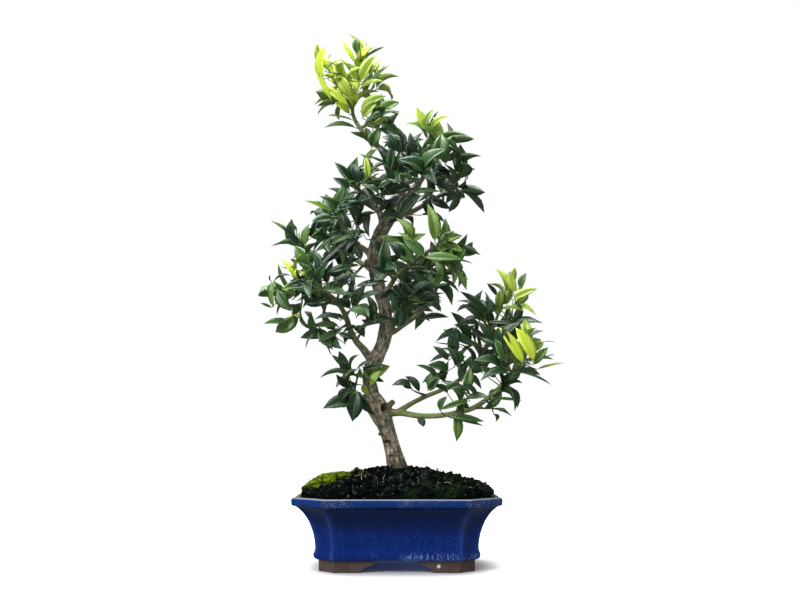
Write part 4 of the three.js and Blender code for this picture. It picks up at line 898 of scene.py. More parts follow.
@dataclass(frozen=True)
class Habit:
    """How leaves stand on a shoot, and the ranges that each leaf is drawn from."""

    places: tuple[float, float] = (0.22, 0.97)
    golden_turn: float = 137.5
    foot_opening: float = 50.0
    tip_closing: float = 28.0
    old_spread: float = 14.0
    turn: tuple[float, float] = (-14.0, 14.0)
    opening: tuple[float, float] = (-9.0, 9.0)
    lift: tuple[float, float] = (0.04, 0.3)
    length: tuple[float, float] = (0.82, 1.16)
    droop: tuple[float, float] = (0.04, 0.24)
    slimness: tuple[float, float] = (0.86, 1.14)
    young_shrink: float = 0.16
    half_width: float = 0.2
    facing_along: float = 0.85
    facing_up: float = 0.55
    facing_light: float = 0.4
    least_facing: float = 0.2
    crown_centre: tuple[float, float] = (-8.0, 14.0)
    crown_flatness: float = 3.0
    light_softness: float = 20.0
    nearly_upright: float = 0.92
    clear_ways: tuple[tuple[float, float], ...] = (
        (0, 0), (24, 0), (-24, 0), (0, -18), (48, 0), (-48, 0), (0, 18), (72, -10), (-72, -10), (100, 0),
        (-100, 0), (130, -12), (-130, -12), (180, 0),
    )

    def opening_at(self, share: float, youth: float) -> float:
        """Return the usual angle between leaf and shoot, wider on old shoots."""
        return self.foot_opening + self.old_spread * (1 - youth) - self.tip_closing * share**2

    def light_at(self, root: np.ndarray) -> np.ndarray:
        """Return the level part of the way to the light, out of the crown."""
        out = np.array([
            root[0] - self.crown_centre[0],
            (root[1] - self.crown_centre[1]) * self.crown_flatness,
            0.0,
        ])
        return out * (self.facing_light / (np.linalg.norm(out) + self.light_softness))

    def stand(
        self, bend: Bend, root: np.ndarray, share: float, turn: float, opening: float, lift: float
    ) -> tuple[np.ndarray, np.ndarray]:
        """Work out how a leaf lies.

        Args:
            bend: The shoot's curve.
            root: Where the leaf springs.
            share: Its place along the shoot.
            turn: Its turn about the shoot, in degrees.
            opening: Its angle from the shoot, in degrees.
            lift: How much it rises to the light.

        Returns:
            The way it points and its upper side.
        """
        along = bend.along(share)
        guide = np.array([0.0, 1.0, 0.0]) if abs(along[2]) > self.nearly_upright else UP
        side = unit(np.cross(along, guide))
        over = np.cross(side, along)
        angle, spread = math.radians(turn), math.radians(opening)
        radial = side * math.cos(angle) + over * math.sin(angle)
        pointing = unit(along * math.cos(spread) + radial * math.sin(spread) + UP * lift)
        upper = along * self.facing_along + UP * self.facing_up + self.light_at(root)
        upper = upper - pointing * upper.dot(pointing)
        if np.linalg.norm(upper) < self.least_facing:
            upper = np.cross(side, pointing)
        return pointing, unit(upper)


@dataclass(frozen=True)
class Twig:
    """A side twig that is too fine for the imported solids, and its leaves."""

    bend: Bend
    leaves: list[LeafStand]


@dataclass(frozen=True)
class Filling:
    """How many side twigs grow from shoots and branches, and what their leaves are like."""

    shoot_seed: int = 1000
    branch_seed: int = 2000
    front_seed: int = 3000
    twigs_per_leaf: float = 0.12
    front_limit: float = 2.0
    places: tuple[float, float] = (0.0, 0.7)
    stagger: tuple[float, float] = (0.2, 0.8)
    reach: tuple[float, float] = (8.0, 17.0)
    single_reach: float = 0.5
    single_places: tuple[tuple[float, float], ...] = ((1.0, 0.0),)
    sag: float = 0.06
    leaf_places: tuple[tuple[float, float], ...] = ((0.5, 58.0), (1.0, 44.0), (1.0, 10.0))
    shrink: tuple[float, float] = (0.72, 1.04)
    opening: tuple[float, float] = (-12.0, 16.0)
    twig_opening: tuple[float, float] = (34.0, 62.0)
    droop: tuple[float, float] = (0.0, 0.2)
    roll: tuple[float, float] = (-35.0, 35.0)
    branch_part: float = 0.45
    branch_row: float = 1.0
    branch_spacing: float = 6.5
    branch_stagger: tuple[float, float] = (0.6, 1.4)
    branch_leaf: float = 30.0
    branch_girth: float = 3.2
    branch_share: float = 0.3
    twig_every: int = 5
    front_roll: tuple[float, float] = (-26.0, 26.0)
    front_facing: tuple[float, float, float] = (-0.2, -0.8, 0.6)
    front_reach: float = 0.15
    front_droop: tuple[float, float] = (0.0, 0.12)
    stem_samples: int = 9
    limb_spacing: float = 3.0
    stalk_sag: float = 0.5


def smooth_line(points: Sequence, spacing: float) -> np.ndarray:
    """Draw a smooth curve through points, with every column smoothed alike.

    Args:
        points: Rows of x, y, z and radius.
        spacing: Distance between the new rows.

    Returns:
        The new rows.
    """
    rows = np.array(points, float)
    rows = np.vstack([2 * rows[0] - rows[1], rows, 2 * rows[-1] - rows[-2]])
    smooth = []
    for a, b, c, d in zip(rows, rows[1:], rows[2:], rows[3:]):
        steps = max(2, round(np.linalg.norm((c - b)[:3]) / spacing))
        for share in np.arange(steps) / steps:
            bow = (2 * a - 5 * b + 4 * c - d) * share**2 + (3 * b - a - 3 * c + d) * share**3
            smooth.append(b + 0.5 * ((c - a) * share + bow))
    smooth.append(rows[-2])
    return np.array(smooth)


def rolled(upper: np.ndarray, pointing: np.ndarray, degrees: float) -> np.ndarray:
    """Roll a leaf's upper side about the way that the leaf points."""
    angle = math.radians(degrees)
    return upper * math.cos(angle) + np.cross(pointing, upper) * math.sin(angle)


class Growth:
    """Repeats the rule by which the tree grew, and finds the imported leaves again."""

    SHOOT_STRAIGHT = 0.45
    SHOOT_SAG = 0.08
    TWIG_STEPS = 2
    MID_BEND = 0.5
    SPUR_LENGTH = 4.0
    SEAT_GAP = 0.3
    END_GAP = 0.6
    TIP_MATCH = 0.06

    def __init__(self, pot_frame: PotFrame, habit: Habit, filling: Filling) -> None:
        """Lay out every shoot.

        Args:
            pot_frame: The plan's frame.
            habit: How leaves stand.
            filling: The further leaves.
        """
        self.pot_frame = pot_frame
        self.habit = habit
        self.filling = filling
        self.bends: dict[str, Bend] = {}
        self.spray_of: dict[str, str] = {}
        self.seeds = {shoot.name: number for number, shoot in enumerate(SHOOTS, 1)}
        for shoot in SHOOTS:
            self.bends[shoot.name] = self._bend(shoot)
            self.spray_of[shoot.name] = self.spray_of.get(shoot.bearer, shoot.name)

    @staticmethod
    def on_limb(limb: str, place: float) -> tuple[np.ndarray, float]:
        """Return the point and the radius at a place counted in a limb's points."""
        points = LIMBS[limb]
        first = min(int(place), len(points) - 2)
        start, end = np.array(points[first], float), np.array(points[first + 1], float)
        mixed = start + (end - start) * (place - first)
        return mixed[:3], float(mixed[3])

    def _bend(self, shoot: Shoot) -> Bend:
        """Work out a shoot's curve from what bears it."""
        tip = np.array(shoot.tip, float)
        if shoot.bearer in self.bends:
            foot = self.bends[shoot.bearer].chord_point(shoot.place, self.TWIG_STEPS)
            direction = unit(tip - foot)
        else:
            point, radius = self.on_limb(shoot.bearer, shoot.place)
            if shoot.place == len(LIMBS[shoot.bearer]) - 1:
                direction = unit(point - np.array(LIMBS[shoot.bearer][-2][:3], float))
                foot = point + direction * self.END_GAP
            else:
                direction = unit(tip - point)
                foot = point + direction * (radius + self.SPUR_LENGTH + self.SEAT_GAP)
        reach = np.linalg.norm(tip - foot)
        middle = foot + direction * reach * self.SHOOT_STRAIGHT - UP * reach * self.SHOOT_SAG
        return Bend(foot, middle, tip)

    def packed_leaves(self, shoot: Shoot) -> list[LeafStand]:
        """Draw a shoot's leaves again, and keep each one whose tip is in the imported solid.

        Args:
            shoot: The shoot.

        Returns:
            Its leaves, in the places that the solids show.
        """
        habit, bend = self.habit, self.bends[shoot.name]
        vertices = self.pot_frame.node_points(f"spray_{self.spray_of[shoot.name]}")
        draws = Draws(self.seeds[shoot.name])
        first_turn = draws.turn()
        low, high = habit.places
        leaves = []
        for number in range(shoot.leaves):
            share = low + (high - low) * number / (shoot.leaves - 1)
            turn = first_turn + habit.golden_turn * number + draws.between(*habit.turn)
            opening = habit.opening_at(share, shoot.youth) + draws.between(*habit.opening)
            lift = draws.between(*habit.lift)
            length = shoot.leaf_length * draws.between(*habit.length)
            length *= 1 - habit.young_shrink * shoot.youth * share
            droop = draws.between(*habit.droop)
            half_width = length * habit.half_width * draws.between(*habit.slimness)
            root = bend.chord_point(share, self.TWIG_STEPS)
            for more_turn, more_opening in habit.clear_ways:
                pointing, upper = habit.stand(
                    bend, root, share, turn + more_turn, opening + more_opening, lift
                )
                leaf = LeafStand(root, pointing, upper, length, half_width, droop, share)
                if np.abs(vertices - leaf.tip()).max(1).min() < self.TIP_MATCH:
                    leaves.append(leaf)
                    break
        return leaves

    def _twig(
        self, root: np.ndarray, pointing: np.ndarray, length: float, share: float, draws: Draws,
        single: bool = False,
    ) -> Twig:
        """Grow a side twig.

        Args:
            root: Where it springs.
            pointing: Which way it grows.
            length: The usual length of its leaves.
            share: Its place along its bearer, which tells how old its leaves are.
            draws: The stream that it is drawn from.
            single: Whether it is only one leaf.

        Returns:
            The twig.
        """
        filling, habit = self.filling, self.habit
        drawn = draws.between(*filling.reach)
        reach = filling.single_reach if single else drawn
        bend = Bend(root, root + pointing * reach / 2 - UP * reach * filling.sag, root + pointing * reach)
        turn = draws.turn()
        leaves = []
        for place, spread in filling.single_places if single else filling.leaf_places:
            turn += habit.golden_turn + draws.between(*habit.turn)
            opening = spread + draws.between(*filling.opening)
            foot = bend.point(place)
            way, upper = habit.stand(bend, foot, place, turn, opening, draws.between(*habit.lift))
            upper = rolled(upper, way, draws.between(*filling.roll))
            blade = length * draws.between(*filling.shrink)
            half_width = blade * habit.half_width * draws.between(*habit.slimness)
            droop = draws.between(*filling.droop)
            leaves.append(LeafStand(foot, way, upper, blade, half_width, droop, share))
        return Twig(bend, leaves)

    def shoot_twigs(self, shoot: Shoot) -> list[Twig]:
        """Grow the side twigs of a shoot."""
        habit, filling, bend = self.habit, self.filling, self.bends[shoot.name]
        draws = Draws(self.seeds[shoot.name] + filling.shoot_seed)
        turn = draws.turn()
        count = round(shoot.leaves * filling.twigs_per_leaf)
        low, high = filling.places
        twigs = []
        for number in range(count):
            share = low + (high - low) * (number + draws.between(*filling.stagger)) / count
            turn += habit.golden_turn
            root = bend.point(share)
            opening = draws.between(*filling.twig_opening)
            pointing, _ = habit.stand(bend, root, share, turn, opening, draws.between(*habit.lift))
            twig = self._twig(root, pointing, shoot.leaf_length, share, draws)
            if twig.bend.tip[1] > filling.front_limit:
                twigs.append(twig)
        return twigs

    @staticmethod
    def _borne_by(limb: str) -> list[Shoot]:
        """List the shoots that a limb bears."""
        return [shoot for shoot in SHOOTS if shoot.bearer == limb]

    def branch_twigs(self) -> dict[str, list[Twig]]:
        """Grow the side twigs that stand on the branches themselves.

        Returns:
            The twigs by the name of the shoot next to them.
        """
        filling, habit = self.filling, self.habit
        found: dict[str, list[Twig]] = {}
        for number, (limb, points) in enumerate(LIMBS.items()):
            borne = self._borne_by(limb)
            if limb == "trunk" or not borne:
                continue
            draws = Draws(filling.branch_seed + number)
            rows = smooth_line(points, filling.branch_row)
            turn = draws.turn()
            step = int(len(rows) * filling.branch_part)
            while step < len(rows) - 2:
                point, radius = rows[step, :3], rows[step, 3]
                place = step * (len(points) - 1) / (len(rows) - 1)
                bend = Bend(rows[step - 1, :3], point, rows[step + 1, :3])
                step += round(filling.branch_spacing * draws.between(*filling.branch_stagger))
                turn += habit.golden_turn + draws.between(*habit.turn)
                if radius > filling.branch_girth:
                    continue
                opening = draws.between(*filling.twig_opening)
                lift = draws.between(*habit.lift)
                pointing, _ = habit.stand(bend, point, self.MID_BEND, turn, opening, lift)
                near = min(borne, key=lambda shoot: abs(shoot.place - place))
                root = point + pointing * radius / 2
                single = round(turn) % filling.twig_every > 0
                twig = self._twig(root, pointing, filling.branch_leaf, filling.branch_share, draws, single)
                if twig.leaves[0].tip()[1] > filling.front_limit:
                    found.setdefault(near.name, []).append(twig)
        return found

    def front_twigs(self) -> dict[str, list[Twig]]:
        """Set the leaves that show on the front, each on a stalk from the stem next to it.

        Returns:
            The stalks with their leaves, by the name of the shoot that bears them.
        """
        filling = self.filling
        shares = np.linspace(0, 1, filling.stem_samples)
        stems = [(name, bend.point(share)) for name, bend in self.bends.items() for share in shares]
        for limb, points in LIMBS.items():
            borne = self._borne_by(limb)
            for row in smooth_line(points, filling.limb_spacing) if borne else ():
                near = min(borne, key=lambda shoot: np.linalg.norm(self.bends[shoot.name].foot - row[:3]))
                stems.append((near.name, row[:3]))
        places = np.array([place for _, place in stems])
        found: dict[str, list[Twig]] = {}
        for number, (x, y, z, tip_x, tip_z, width, youth) in enumerate(FRONT_LEAVES):
            draws = Draws(filling.front_seed + number)
            root = np.array([x, y, z], float)
            way = np.array([tip_x - x, 0.0, tip_z - z])
            way[1] = -np.linalg.norm(way) * filling.front_reach
            length, pointing = np.linalg.norm(way), unit(way)
            facing = np.array(filling.front_facing)
            upper = unit(facing - pointing * facing.dot(pointing))
            upper = rolled(upper, pointing, draws.between(*filling.front_roll))
            name, stem = stems[int(np.linalg.norm(places - root, axis=1).argmin())]
            droop = draws.between(*filling.front_droop)
            leaf = LeafStand(root, pointing, upper, length, width / 2, droop, 1.0, youth / 100)
            stalk = Bend(stem, (stem + root) / 2 - UP * filling.stalk_sag, root + pointing)
            found.setdefault(name, []).append(Twig(stalk, [leaf]))
        return found


@dataclass(frozen=True)
class LeafForm:
    """One way that a leaf of length 1 and half width 1 is shaped."""

    fold: float
    arch: float
    wave: float
    phase: float
    sweep: float
    bow: float
    twist: float

    # Stations along the leaf: share of its length, share of its half width, and its half thickness.
    STATIONS = (
        (0.0, 0.07, 0.06), (0.07, 0.075, 0.06), (0.13, 0.46, 0.04), (0.26, 0.86, 0.032),
        (0.44, 1.0, 0.03), (0.63, 0.92, 0.028), (0.8, 0.62, 0.024), (0.92, 0.24, 0.02),
    )
    # Points round the blade: share of its half width, and share of its half thickness.
    RING = ((-1.0, 0.0), (-0.52, 1.0), (0.0, 0.6), (0.52, 1.0), (1.0, 0.0), (0.0, -1.8))
    MIDRIB = 2
    RIPPLES = 1.6
    SIDE_PHASE = 0.25
    TWIST_CENTRE = 0.3

    def height(self, across: float, along: float, width: float) -> float:
        """Return how high the blade's middle surface lies at a place."""
        out = abs(across)
        turns = self.RIPPLES * along + self.phase + self.SIDE_PHASE * np.sign(across)
        ripple = self.wave * math.sin(2 * math.pi * turns)
        return width * (self.fold * out - self.arch * out**2 + ripple * out**3)

    def build(self, name: str) -> bpy.types.Object:
        """Build the leaf as a thin closed shell along +Y with its upper side at +Z.

        Args:
            name: The object's name.

        Returns:
            The object, not linked to the scene.
        """
        points: list[tuple[float, float, float]] = []
        blade: list[tuple[float, float, float]] = []
        for along, width, depth in self.STATIONS:
            turn = self.twist * (along - self.TWIST_CENTRE)
            rise = self.bow * 4 * along * (1 - along)
            for across, layer in self.RING:
                x, z = across * width, self.height(across, along, width) + layer * depth
                turned = x * math.cos(turn) - z * math.sin(turn), x * math.sin(turn) + z * math.cos(turn)
                points.append((turned[0] + self.sweep * along**2, along, turned[1] + rise))
                blade.append((across * width, along, float(layer >= 0)))
        points.append((self.sweep, 1.0, 0.0))
        blade.append((0.0, 1.0, 1.0))
        count, tip = len(self.RING), len(points) - 1
        faces = ring_faces(len(self.STATIONS), count)[:-1]
        last = tip - count
        faces += [(last + i, last + (i + 1) % count, tip) for i in range(count)]
        form = make_form(name, points, faces)
        set_attributes(form, blade=blade)
        point_faces_outwards(form)
        midrib = {self.MIDRIB + ring * count for ring in range(len(self.STATIONS))} | {tip}
        crease = [set(edge.vertices) <= midrib for edge in form.data.edges]
        form.data.attributes.new("sharp_edge", "BOOLEAN", "EDGE").data.foreach_set("value", crease)
        return form


class LeafTone(Enum):
    """Slot names for leaves by age, with the youth up to which each one holds."""

    DARK = ("leaf_dark", 0.22)
    MID = ("leaf_mid", 0.52)
    YOUNG = ("leaf_young", 1.0)

    @classmethod
    def slot_for(cls, youth: float) -> str:
        """Return the slot of a spray of that youth."""
        return next(tone.value[0] for tone in cls if youth <= tone.value[1])


@dataclass(frozen=True)
class LeafFinish:
    """Glossy citrus leaves: colours by age, veins, mottling and a dull paler underside."""

    by_age: tuple = (
        (0.0, (0.004, 0.02, 0.011)), (0.2, (0.015, 0.06, 0.026)), (0.4, (0.055, 0.155, 0.034)),
        (0.6, (0.15, 0.29, 0.032)), (0.8, (0.34, 0.48, 0.05)), (1.0, (0.7, 0.88, 0.055)),
    )
    old_rib: tuple = (0.1, 0.19, 0.06)
    young_rib: tuple = (0.6, 0.7, 0.12)
    old_under: tuple = (0.06, 0.13, 0.05)
    young_under: tuple = (0.5, 0.65, 0.25)
    under_veins: tuple = (0.2, 0.3, 0.12)
    old_margin: tuple = (0.2, 0.3, 0.16)
    young_margin: tuple = (0.7, 0.78, 0.14)
    worn: tuple = (0.12, 0.14, 0.03)
    dot: tuple = (0.7, 0.78, 0.4)
    rib_half_width: float = 0.05
    side_veins: float = 8.5
    vein_slant: float = 1.9
    vein_sharpness: float = 6.0
    mottle_waves: float = 420.0
    cloud_waves: float = 84.0
    dot_cells: float = 520.0
    gloss: tuple = (0.26, 0.46)
    shine: float = 0.75
    underside_roughness: float = 0.6
    relief_depth: float = 0.0006

    def build(self) -> bpy.types.Material:
        """Build the material."""
        shader = Shader("leaf blade")
        blade = shader.attribute("blade", "Vector")
        across, along = abs(shader.part(blade, "X")), shader.part(blade, "Y")
        top = shader.part(blade, "Z")
        tint, shade = shader.attribute("tint"), shader.attribute("shade")
        place = shader.place()
        mottle = shader.noise(place, self.mottle_waves, 3.0)
        cloud = shader.noise(place, self.cloud_waves, 2.0)
        age = tint + (mottle - 0.5) * 0.16 + (cloud - 0.5) * 0.2 + across * 0.05 + (shade - 0.5) * 0.12
        colour = shader.ramp(age, self.by_age)
        turns = along * self.side_veins - across * self.vein_slant
        crests = ((turns * (2 * math.pi)).sine() * 0.5 + 0.5) ** self.vein_sharpness
        veins = crests * across.step(0.95, 0.5)
        rib = across.step(self.rib_half_width * 2, self.rib_half_width * 0.4) * along.step(1.0, 0.7)
        pale = (veins * 0.16).most(rib * 0.55).most(along.step(0.16, 0.08) * 0.8)
        topside = shader.mix(pale, colour, shader.mix(tint, self.old_rib, self.young_rib))
        topside = shader.mix(shade.step(0.9, 1.0) * 0.35, topside, self.worn)
        dots = shader.cells(place, self.dot_cells).step(0.2, 0.1) * tint.step(0.2, 0.7) * 0.3
        topside = shader.mix(dots, topside, self.dot)
        margin = shader.mix(tint, self.old_margin, self.young_margin)
        topside = shader.mix(across.step(0.86, 1.0) * 0.45, topside, margin)
        young_under = shader.mix(0.35, colour, self.young_under)
        under = shader.mix(tint.step(0.3, 0.9), self.old_under, young_under)
        under = shader.mix((rib * 0.6).most(mottle * 0.25), under, self.under_veins)
        smooth = self.gloss[0] + mottle * (self.gloss[1] - self.gloss[0]) + tint * 0.06
        roughness = top * smooth + (1 - top) * self.underside_roughness
        relief = veins * -0.35 - rib * 0.5 + mottle * 0.3 + cloud * 0.6
        normal = shader.bump(relief, self.relief_depth, 0.7)
        shader.finish(shader.mix(top, under, topside), roughness, normal, Specular_IOR_Level=self.shine)
        return shader.material


@dataclass(frozen=True)
class StemFinish:
    """Young green stems, browner at their foot."""

    green: tuple = (0.09, 0.17, 0.03)
    brown: tuple = (0.12, 0.1, 0.045)
    pale: tuple = (0.2, 0.26, 0.08)
    streaks: tuple = (900.0, 900.0, 160.0)
    mottle_waves: float = 260.0
    relief_depth: float = 0.0003

    def build(self) -> bpy.types.Material:
        """Build the material."""
        shader = Shader("green stem")
        place = shader.place()
        streak = shader.noise(shader.scaled(place, self.streaks), 1.0, 2.0)
        mottle = shader.noise(place, self.mottle_waves, 3.0)
        foot = shader.attribute("wood") * 0.8 + (mottle - 0.5) * 0.5
        colour = shader.mix(foot.step(0.25, 0.75), self.green, self.brown)
        colour = shader.mix(streak * 0.35, colour, self.pale)
        shader.finish(colour, 0.5 + mottle * 0.2, shader.bump(streak, self.relief_depth, 0.6))
        return shader.material


@dataclass(frozen=True)
class Foliage:
    """Builds each spray: its stems and its leaves, finely shaped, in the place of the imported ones."""

    growth: Growth
    leaf_forms: tuple[LeafForm, ...] = (
        LeafForm(0.55, 0.1, 0.05, 0.0, 0.0, 0.4, 0.2), LeafForm(0.8, 0.16, 0.06, 0.3, 0.35, 0.7, -0.4),
        LeafForm(0.4, 0.02, 0.1, 0.55, -0.3, 0.2, 0.6), LeafForm(0.7, 0.2, 0.05, 0.8, 0.2, 0.9, -0.2),
        LeafForm(1.0, 0.18, 0.07, 0.15, -0.2, 0.6, 0.45), LeafForm(0.34, -0.04, 0.12, 0.65, 0.4, 0.3, -0.7),
        LeafForm(1.2, 0.25, 0.06, 0.45, 0.25, 1.0, 0.15),
    )
    seed_offset: int = 5000
    widening: float = 0.98
    width_draw: tuple[float, float] = (0.94, 1.12)
    tint_draw: tuple[float, float] = (-0.07, 0.09)
    sway: tuple[float, float] = (-0.12, 0.12)
    packed_roll: tuple[float, float] = (-22.0, 22.0)
    stem_radii: tuple[float, float] = (1.15, 0.6)
    twig_radii: tuple[float, float] = (0.7, 0.42)
    stem_foot: float = 2.2
    stem_sides: int = 7
    steps_per_leaf: int = 4
    knots: float = 0.12
    tint_at_foot: float = 0.78
    tint_at_tip: float = 1.05
    tint_of_old: float = 0.1
    tint_of_youth: float = 0.9

    def leaf_recipe(self) -> Recipe:
        """Build the tree that puts a leaf on each point and lets it droop."""
        recipe = Recipe("leaves on shoots")
        forms = recipe.input("Forms", "Collection")
        material = recipe.input("Material", "Material")
        droop = recipe.input("Droop", "Float", 1.0)
        axes = {
            "Primary Axis": recipe.named("pointing", "FLOAT_VECTOR"),
            "Secondary Axis": recipe.named("upper", "FLOAT_VECTOR"),
        }
        turn = recipe.node("FunctionNodeAxesToRotation", {"primary_axis": "Y", "secondary_axis": "Z"}, axes)
        leaves = recipe.node("GeometryNodeInstanceOnPoints", values={
            "Points": recipe.geometry,
            "Instance": recipe.forms(forms),
            "Pick Instance": True,
            "Instance Index": recipe.named("form", "INT"),
            "Rotation": turn,
            "Scale": recipe.named("size", "FLOAT_VECTOR"),
        })
        real = recipe.node("GeometryNodeRealizeInstances", values={"Geometry": leaves})
        blade = {0: recipe.named("blade", "FLOAT_VECTOR")}
        along = recipe.node("ShaderNodeSeparateXYZ", values=blade, output="Y")
        bent = {0: recipe.named("fall", "FLOAT_VECTOR"), "Scale": along * along * droop}
        fall = recipe.node("ShaderNodeVectorMath", {"operation": "SCALE"}, bent)
        hung = recipe.node("GeometryNodeSetPosition", values={"Geometry": real, "Offset": fall})
        recipe.finish(hung, material)
        return recipe

    def stem_recipe(self) -> Recipe:
        """Build the tree that gives each stem line its girth."""
        recipe = Recipe("stems along lines")
        sides = recipe.input("Sides", "Int", self.stem_sides)
        material = recipe.input("Material", "Material")
        line = recipe.node("GeometryNodeMeshToCurve", values={"Mesh": recipe.geometry})
        circle = recipe.node("GeometryNodeCurvePrimitiveCircle", values={"Resolution": sides, "Radius": 1.0})
        values = {"Curve": line, "Profile Curve": circle, "Scale": recipe.named("girth"), "Fill Caps": True}
        recipe.finish(recipe.node("GeometryNodeCurveToMesh", values=values), material)
        return recipe

    def _stems(self, name: str, stems: Sequence, recipe: Recipe, bark: Any) -> bpy.types.Object:
        """Build the stems of a spray from their bends, radii, youth and steps."""
        points, edges, girth, wood = [], [], [], []
        for bend, (first, last), youth, steps in stems:
            start = len(points)
            for step in range(-1, steps + 1):
                share = max(step, 0) / steps
                point = bend.point(share)
                if step < 0:
                    point = point - bend.along(0.0) * self.stem_foot * first
                points.append(point)
                knot = 1.0 + self.knots * math.sin(share * steps * math.pi / 2)
                girth.append((first + (last - first) * share) * knot * MM)
                wood.append(1 - share - youth)
            edges += [(i, i + 1) for i in range(start, len(points) - 1)]
        lines = make_object(name, self.growth.pot_frame.to_scene(points), [], edges)
        set_attributes(lines, girth=girth, wood=wood)
        return recipe.apply(lines, {"Sides": self.stem_sides, "Material": bark})

    def _leaf_row(self, leaf: LeafStand, shoot: Shoot, draws: Draws) -> tuple:
        """Draw what one leaf needs: place, ways, size, fall, tint, shade and form."""
        if leaf.youth is None:
            ageing = self.tint_at_foot + (self.tint_at_tip - self.tint_at_foot) * leaf.share
            youth = self.tint_of_old + shoot.youth * self.tint_of_youth * ageing
            tint = youth + draws.between(*self.tint_draw)
            width = leaf.half_width * (self.widening * draws.between(*self.width_draw))
        else:
            tint = leaf.youth + draws.between(*self.tint_draw)
            width = leaf.half_width
        sway = np.cross(leaf.pointing, leaf.upper) * draws.between(*self.sway)
        fall = sway * leaf.length - leaf.upper * leaf.length * leaf.droop
        upper = rolled(leaf.upper, leaf.pointing, draws.between(*self.packed_roll))
        shade, form = draws.next(), int(draws.between(0, len(self.leaf_forms)))
        return leaf.root, leaf.pointing, upper, (width, leaf.length, width), fall, tint, shade, form

    def _leaf_points(
        self, name: str, shoots: Sequence[Shoot], twigs: dict[str, list[Twig]]
    ) -> bpy.types.Object:
        """Make a point for each leaf of a spray, with all that its leaf needs."""
        rows = []
        for shoot in shoots:
            draws = Draws(self.growth.seeds[shoot.name] + self.seed_offset)
            leaves = self.growth.packed_leaves(shoot)
            leaves += [leaf for twig in twigs[shoot.name] for leaf in twig.leaves]
            rows += [self._leaf_row(leaf, shoot, draws) for leaf in leaves]
        roots, pointing, upper, size, fall, tint, shade, form = zip(*rows, strict=True)
        points = make_object(name, self.growth.pot_frame.to_scene(roots), [])
        set_attributes(
            points, pointing=pointing, upper=upper, size=np.array(size) * MM, fall=np.array(fall) * MM,
            tint=tint, shade=shade, form=form,
        )
        return points

    def build(self) -> None:
        """Build and hand in every spray."""
        growth = self.growth
        forms = gather("leaf forms", [f.build(f"leaf form {i}") for i, f in enumerate(self.leaf_forms)])
        blade, stem = LeafFinish().build(), StemFinish().build()
        leaf_recipe, stem_recipe = self.leaf_recipe(), self.stem_recipe()
        sprays: dict[str, list[Shoot]] = {}
        for shoot in SHOOTS:
            sprays.setdefault(growth.spray_of[shoot.name], []).append(shoot)
        on_branches, on_front = growth.branch_twigs(), growth.front_twigs()
        twigs = {
            s.name: growth.shoot_twigs(s) + on_branches.get(s.name, []) + on_front.get(s.name, [])
            for s in SHOOTS
        }
        for spray, shoots in sprays.items():
            leaves = self._leaf_points(f"leafy_{spray}", shoots, twigs)
            leaf_recipe.apply(leaves, {"Forms": forms, "Material": blade, "Droop": 1.0})
            steps = self.steps_per_leaf
            bends = [(growth.bends[s.name], self.stem_radii, s.youth, s.leaves * steps) for s in shoots]
            bends += [(t.bend, self.twig_radii, s.youth, steps) for s in shoots for t in twigs[s.name]]
            stems = self._stems(f"stems_{spray}", bends, stem_recipe, stem)
            piece = join_pieces(leaves, stems)
            for helper in ("pointing", "upper", "size", "fall", "form", "girth"):
                if helper in piece.data.attributes:
                    piece.data.attributes.remove(piece.data.attributes[helper])
            hand_in(piece, LeafTone.slot_for(shoots[0].youth), f"spray_{spray}")


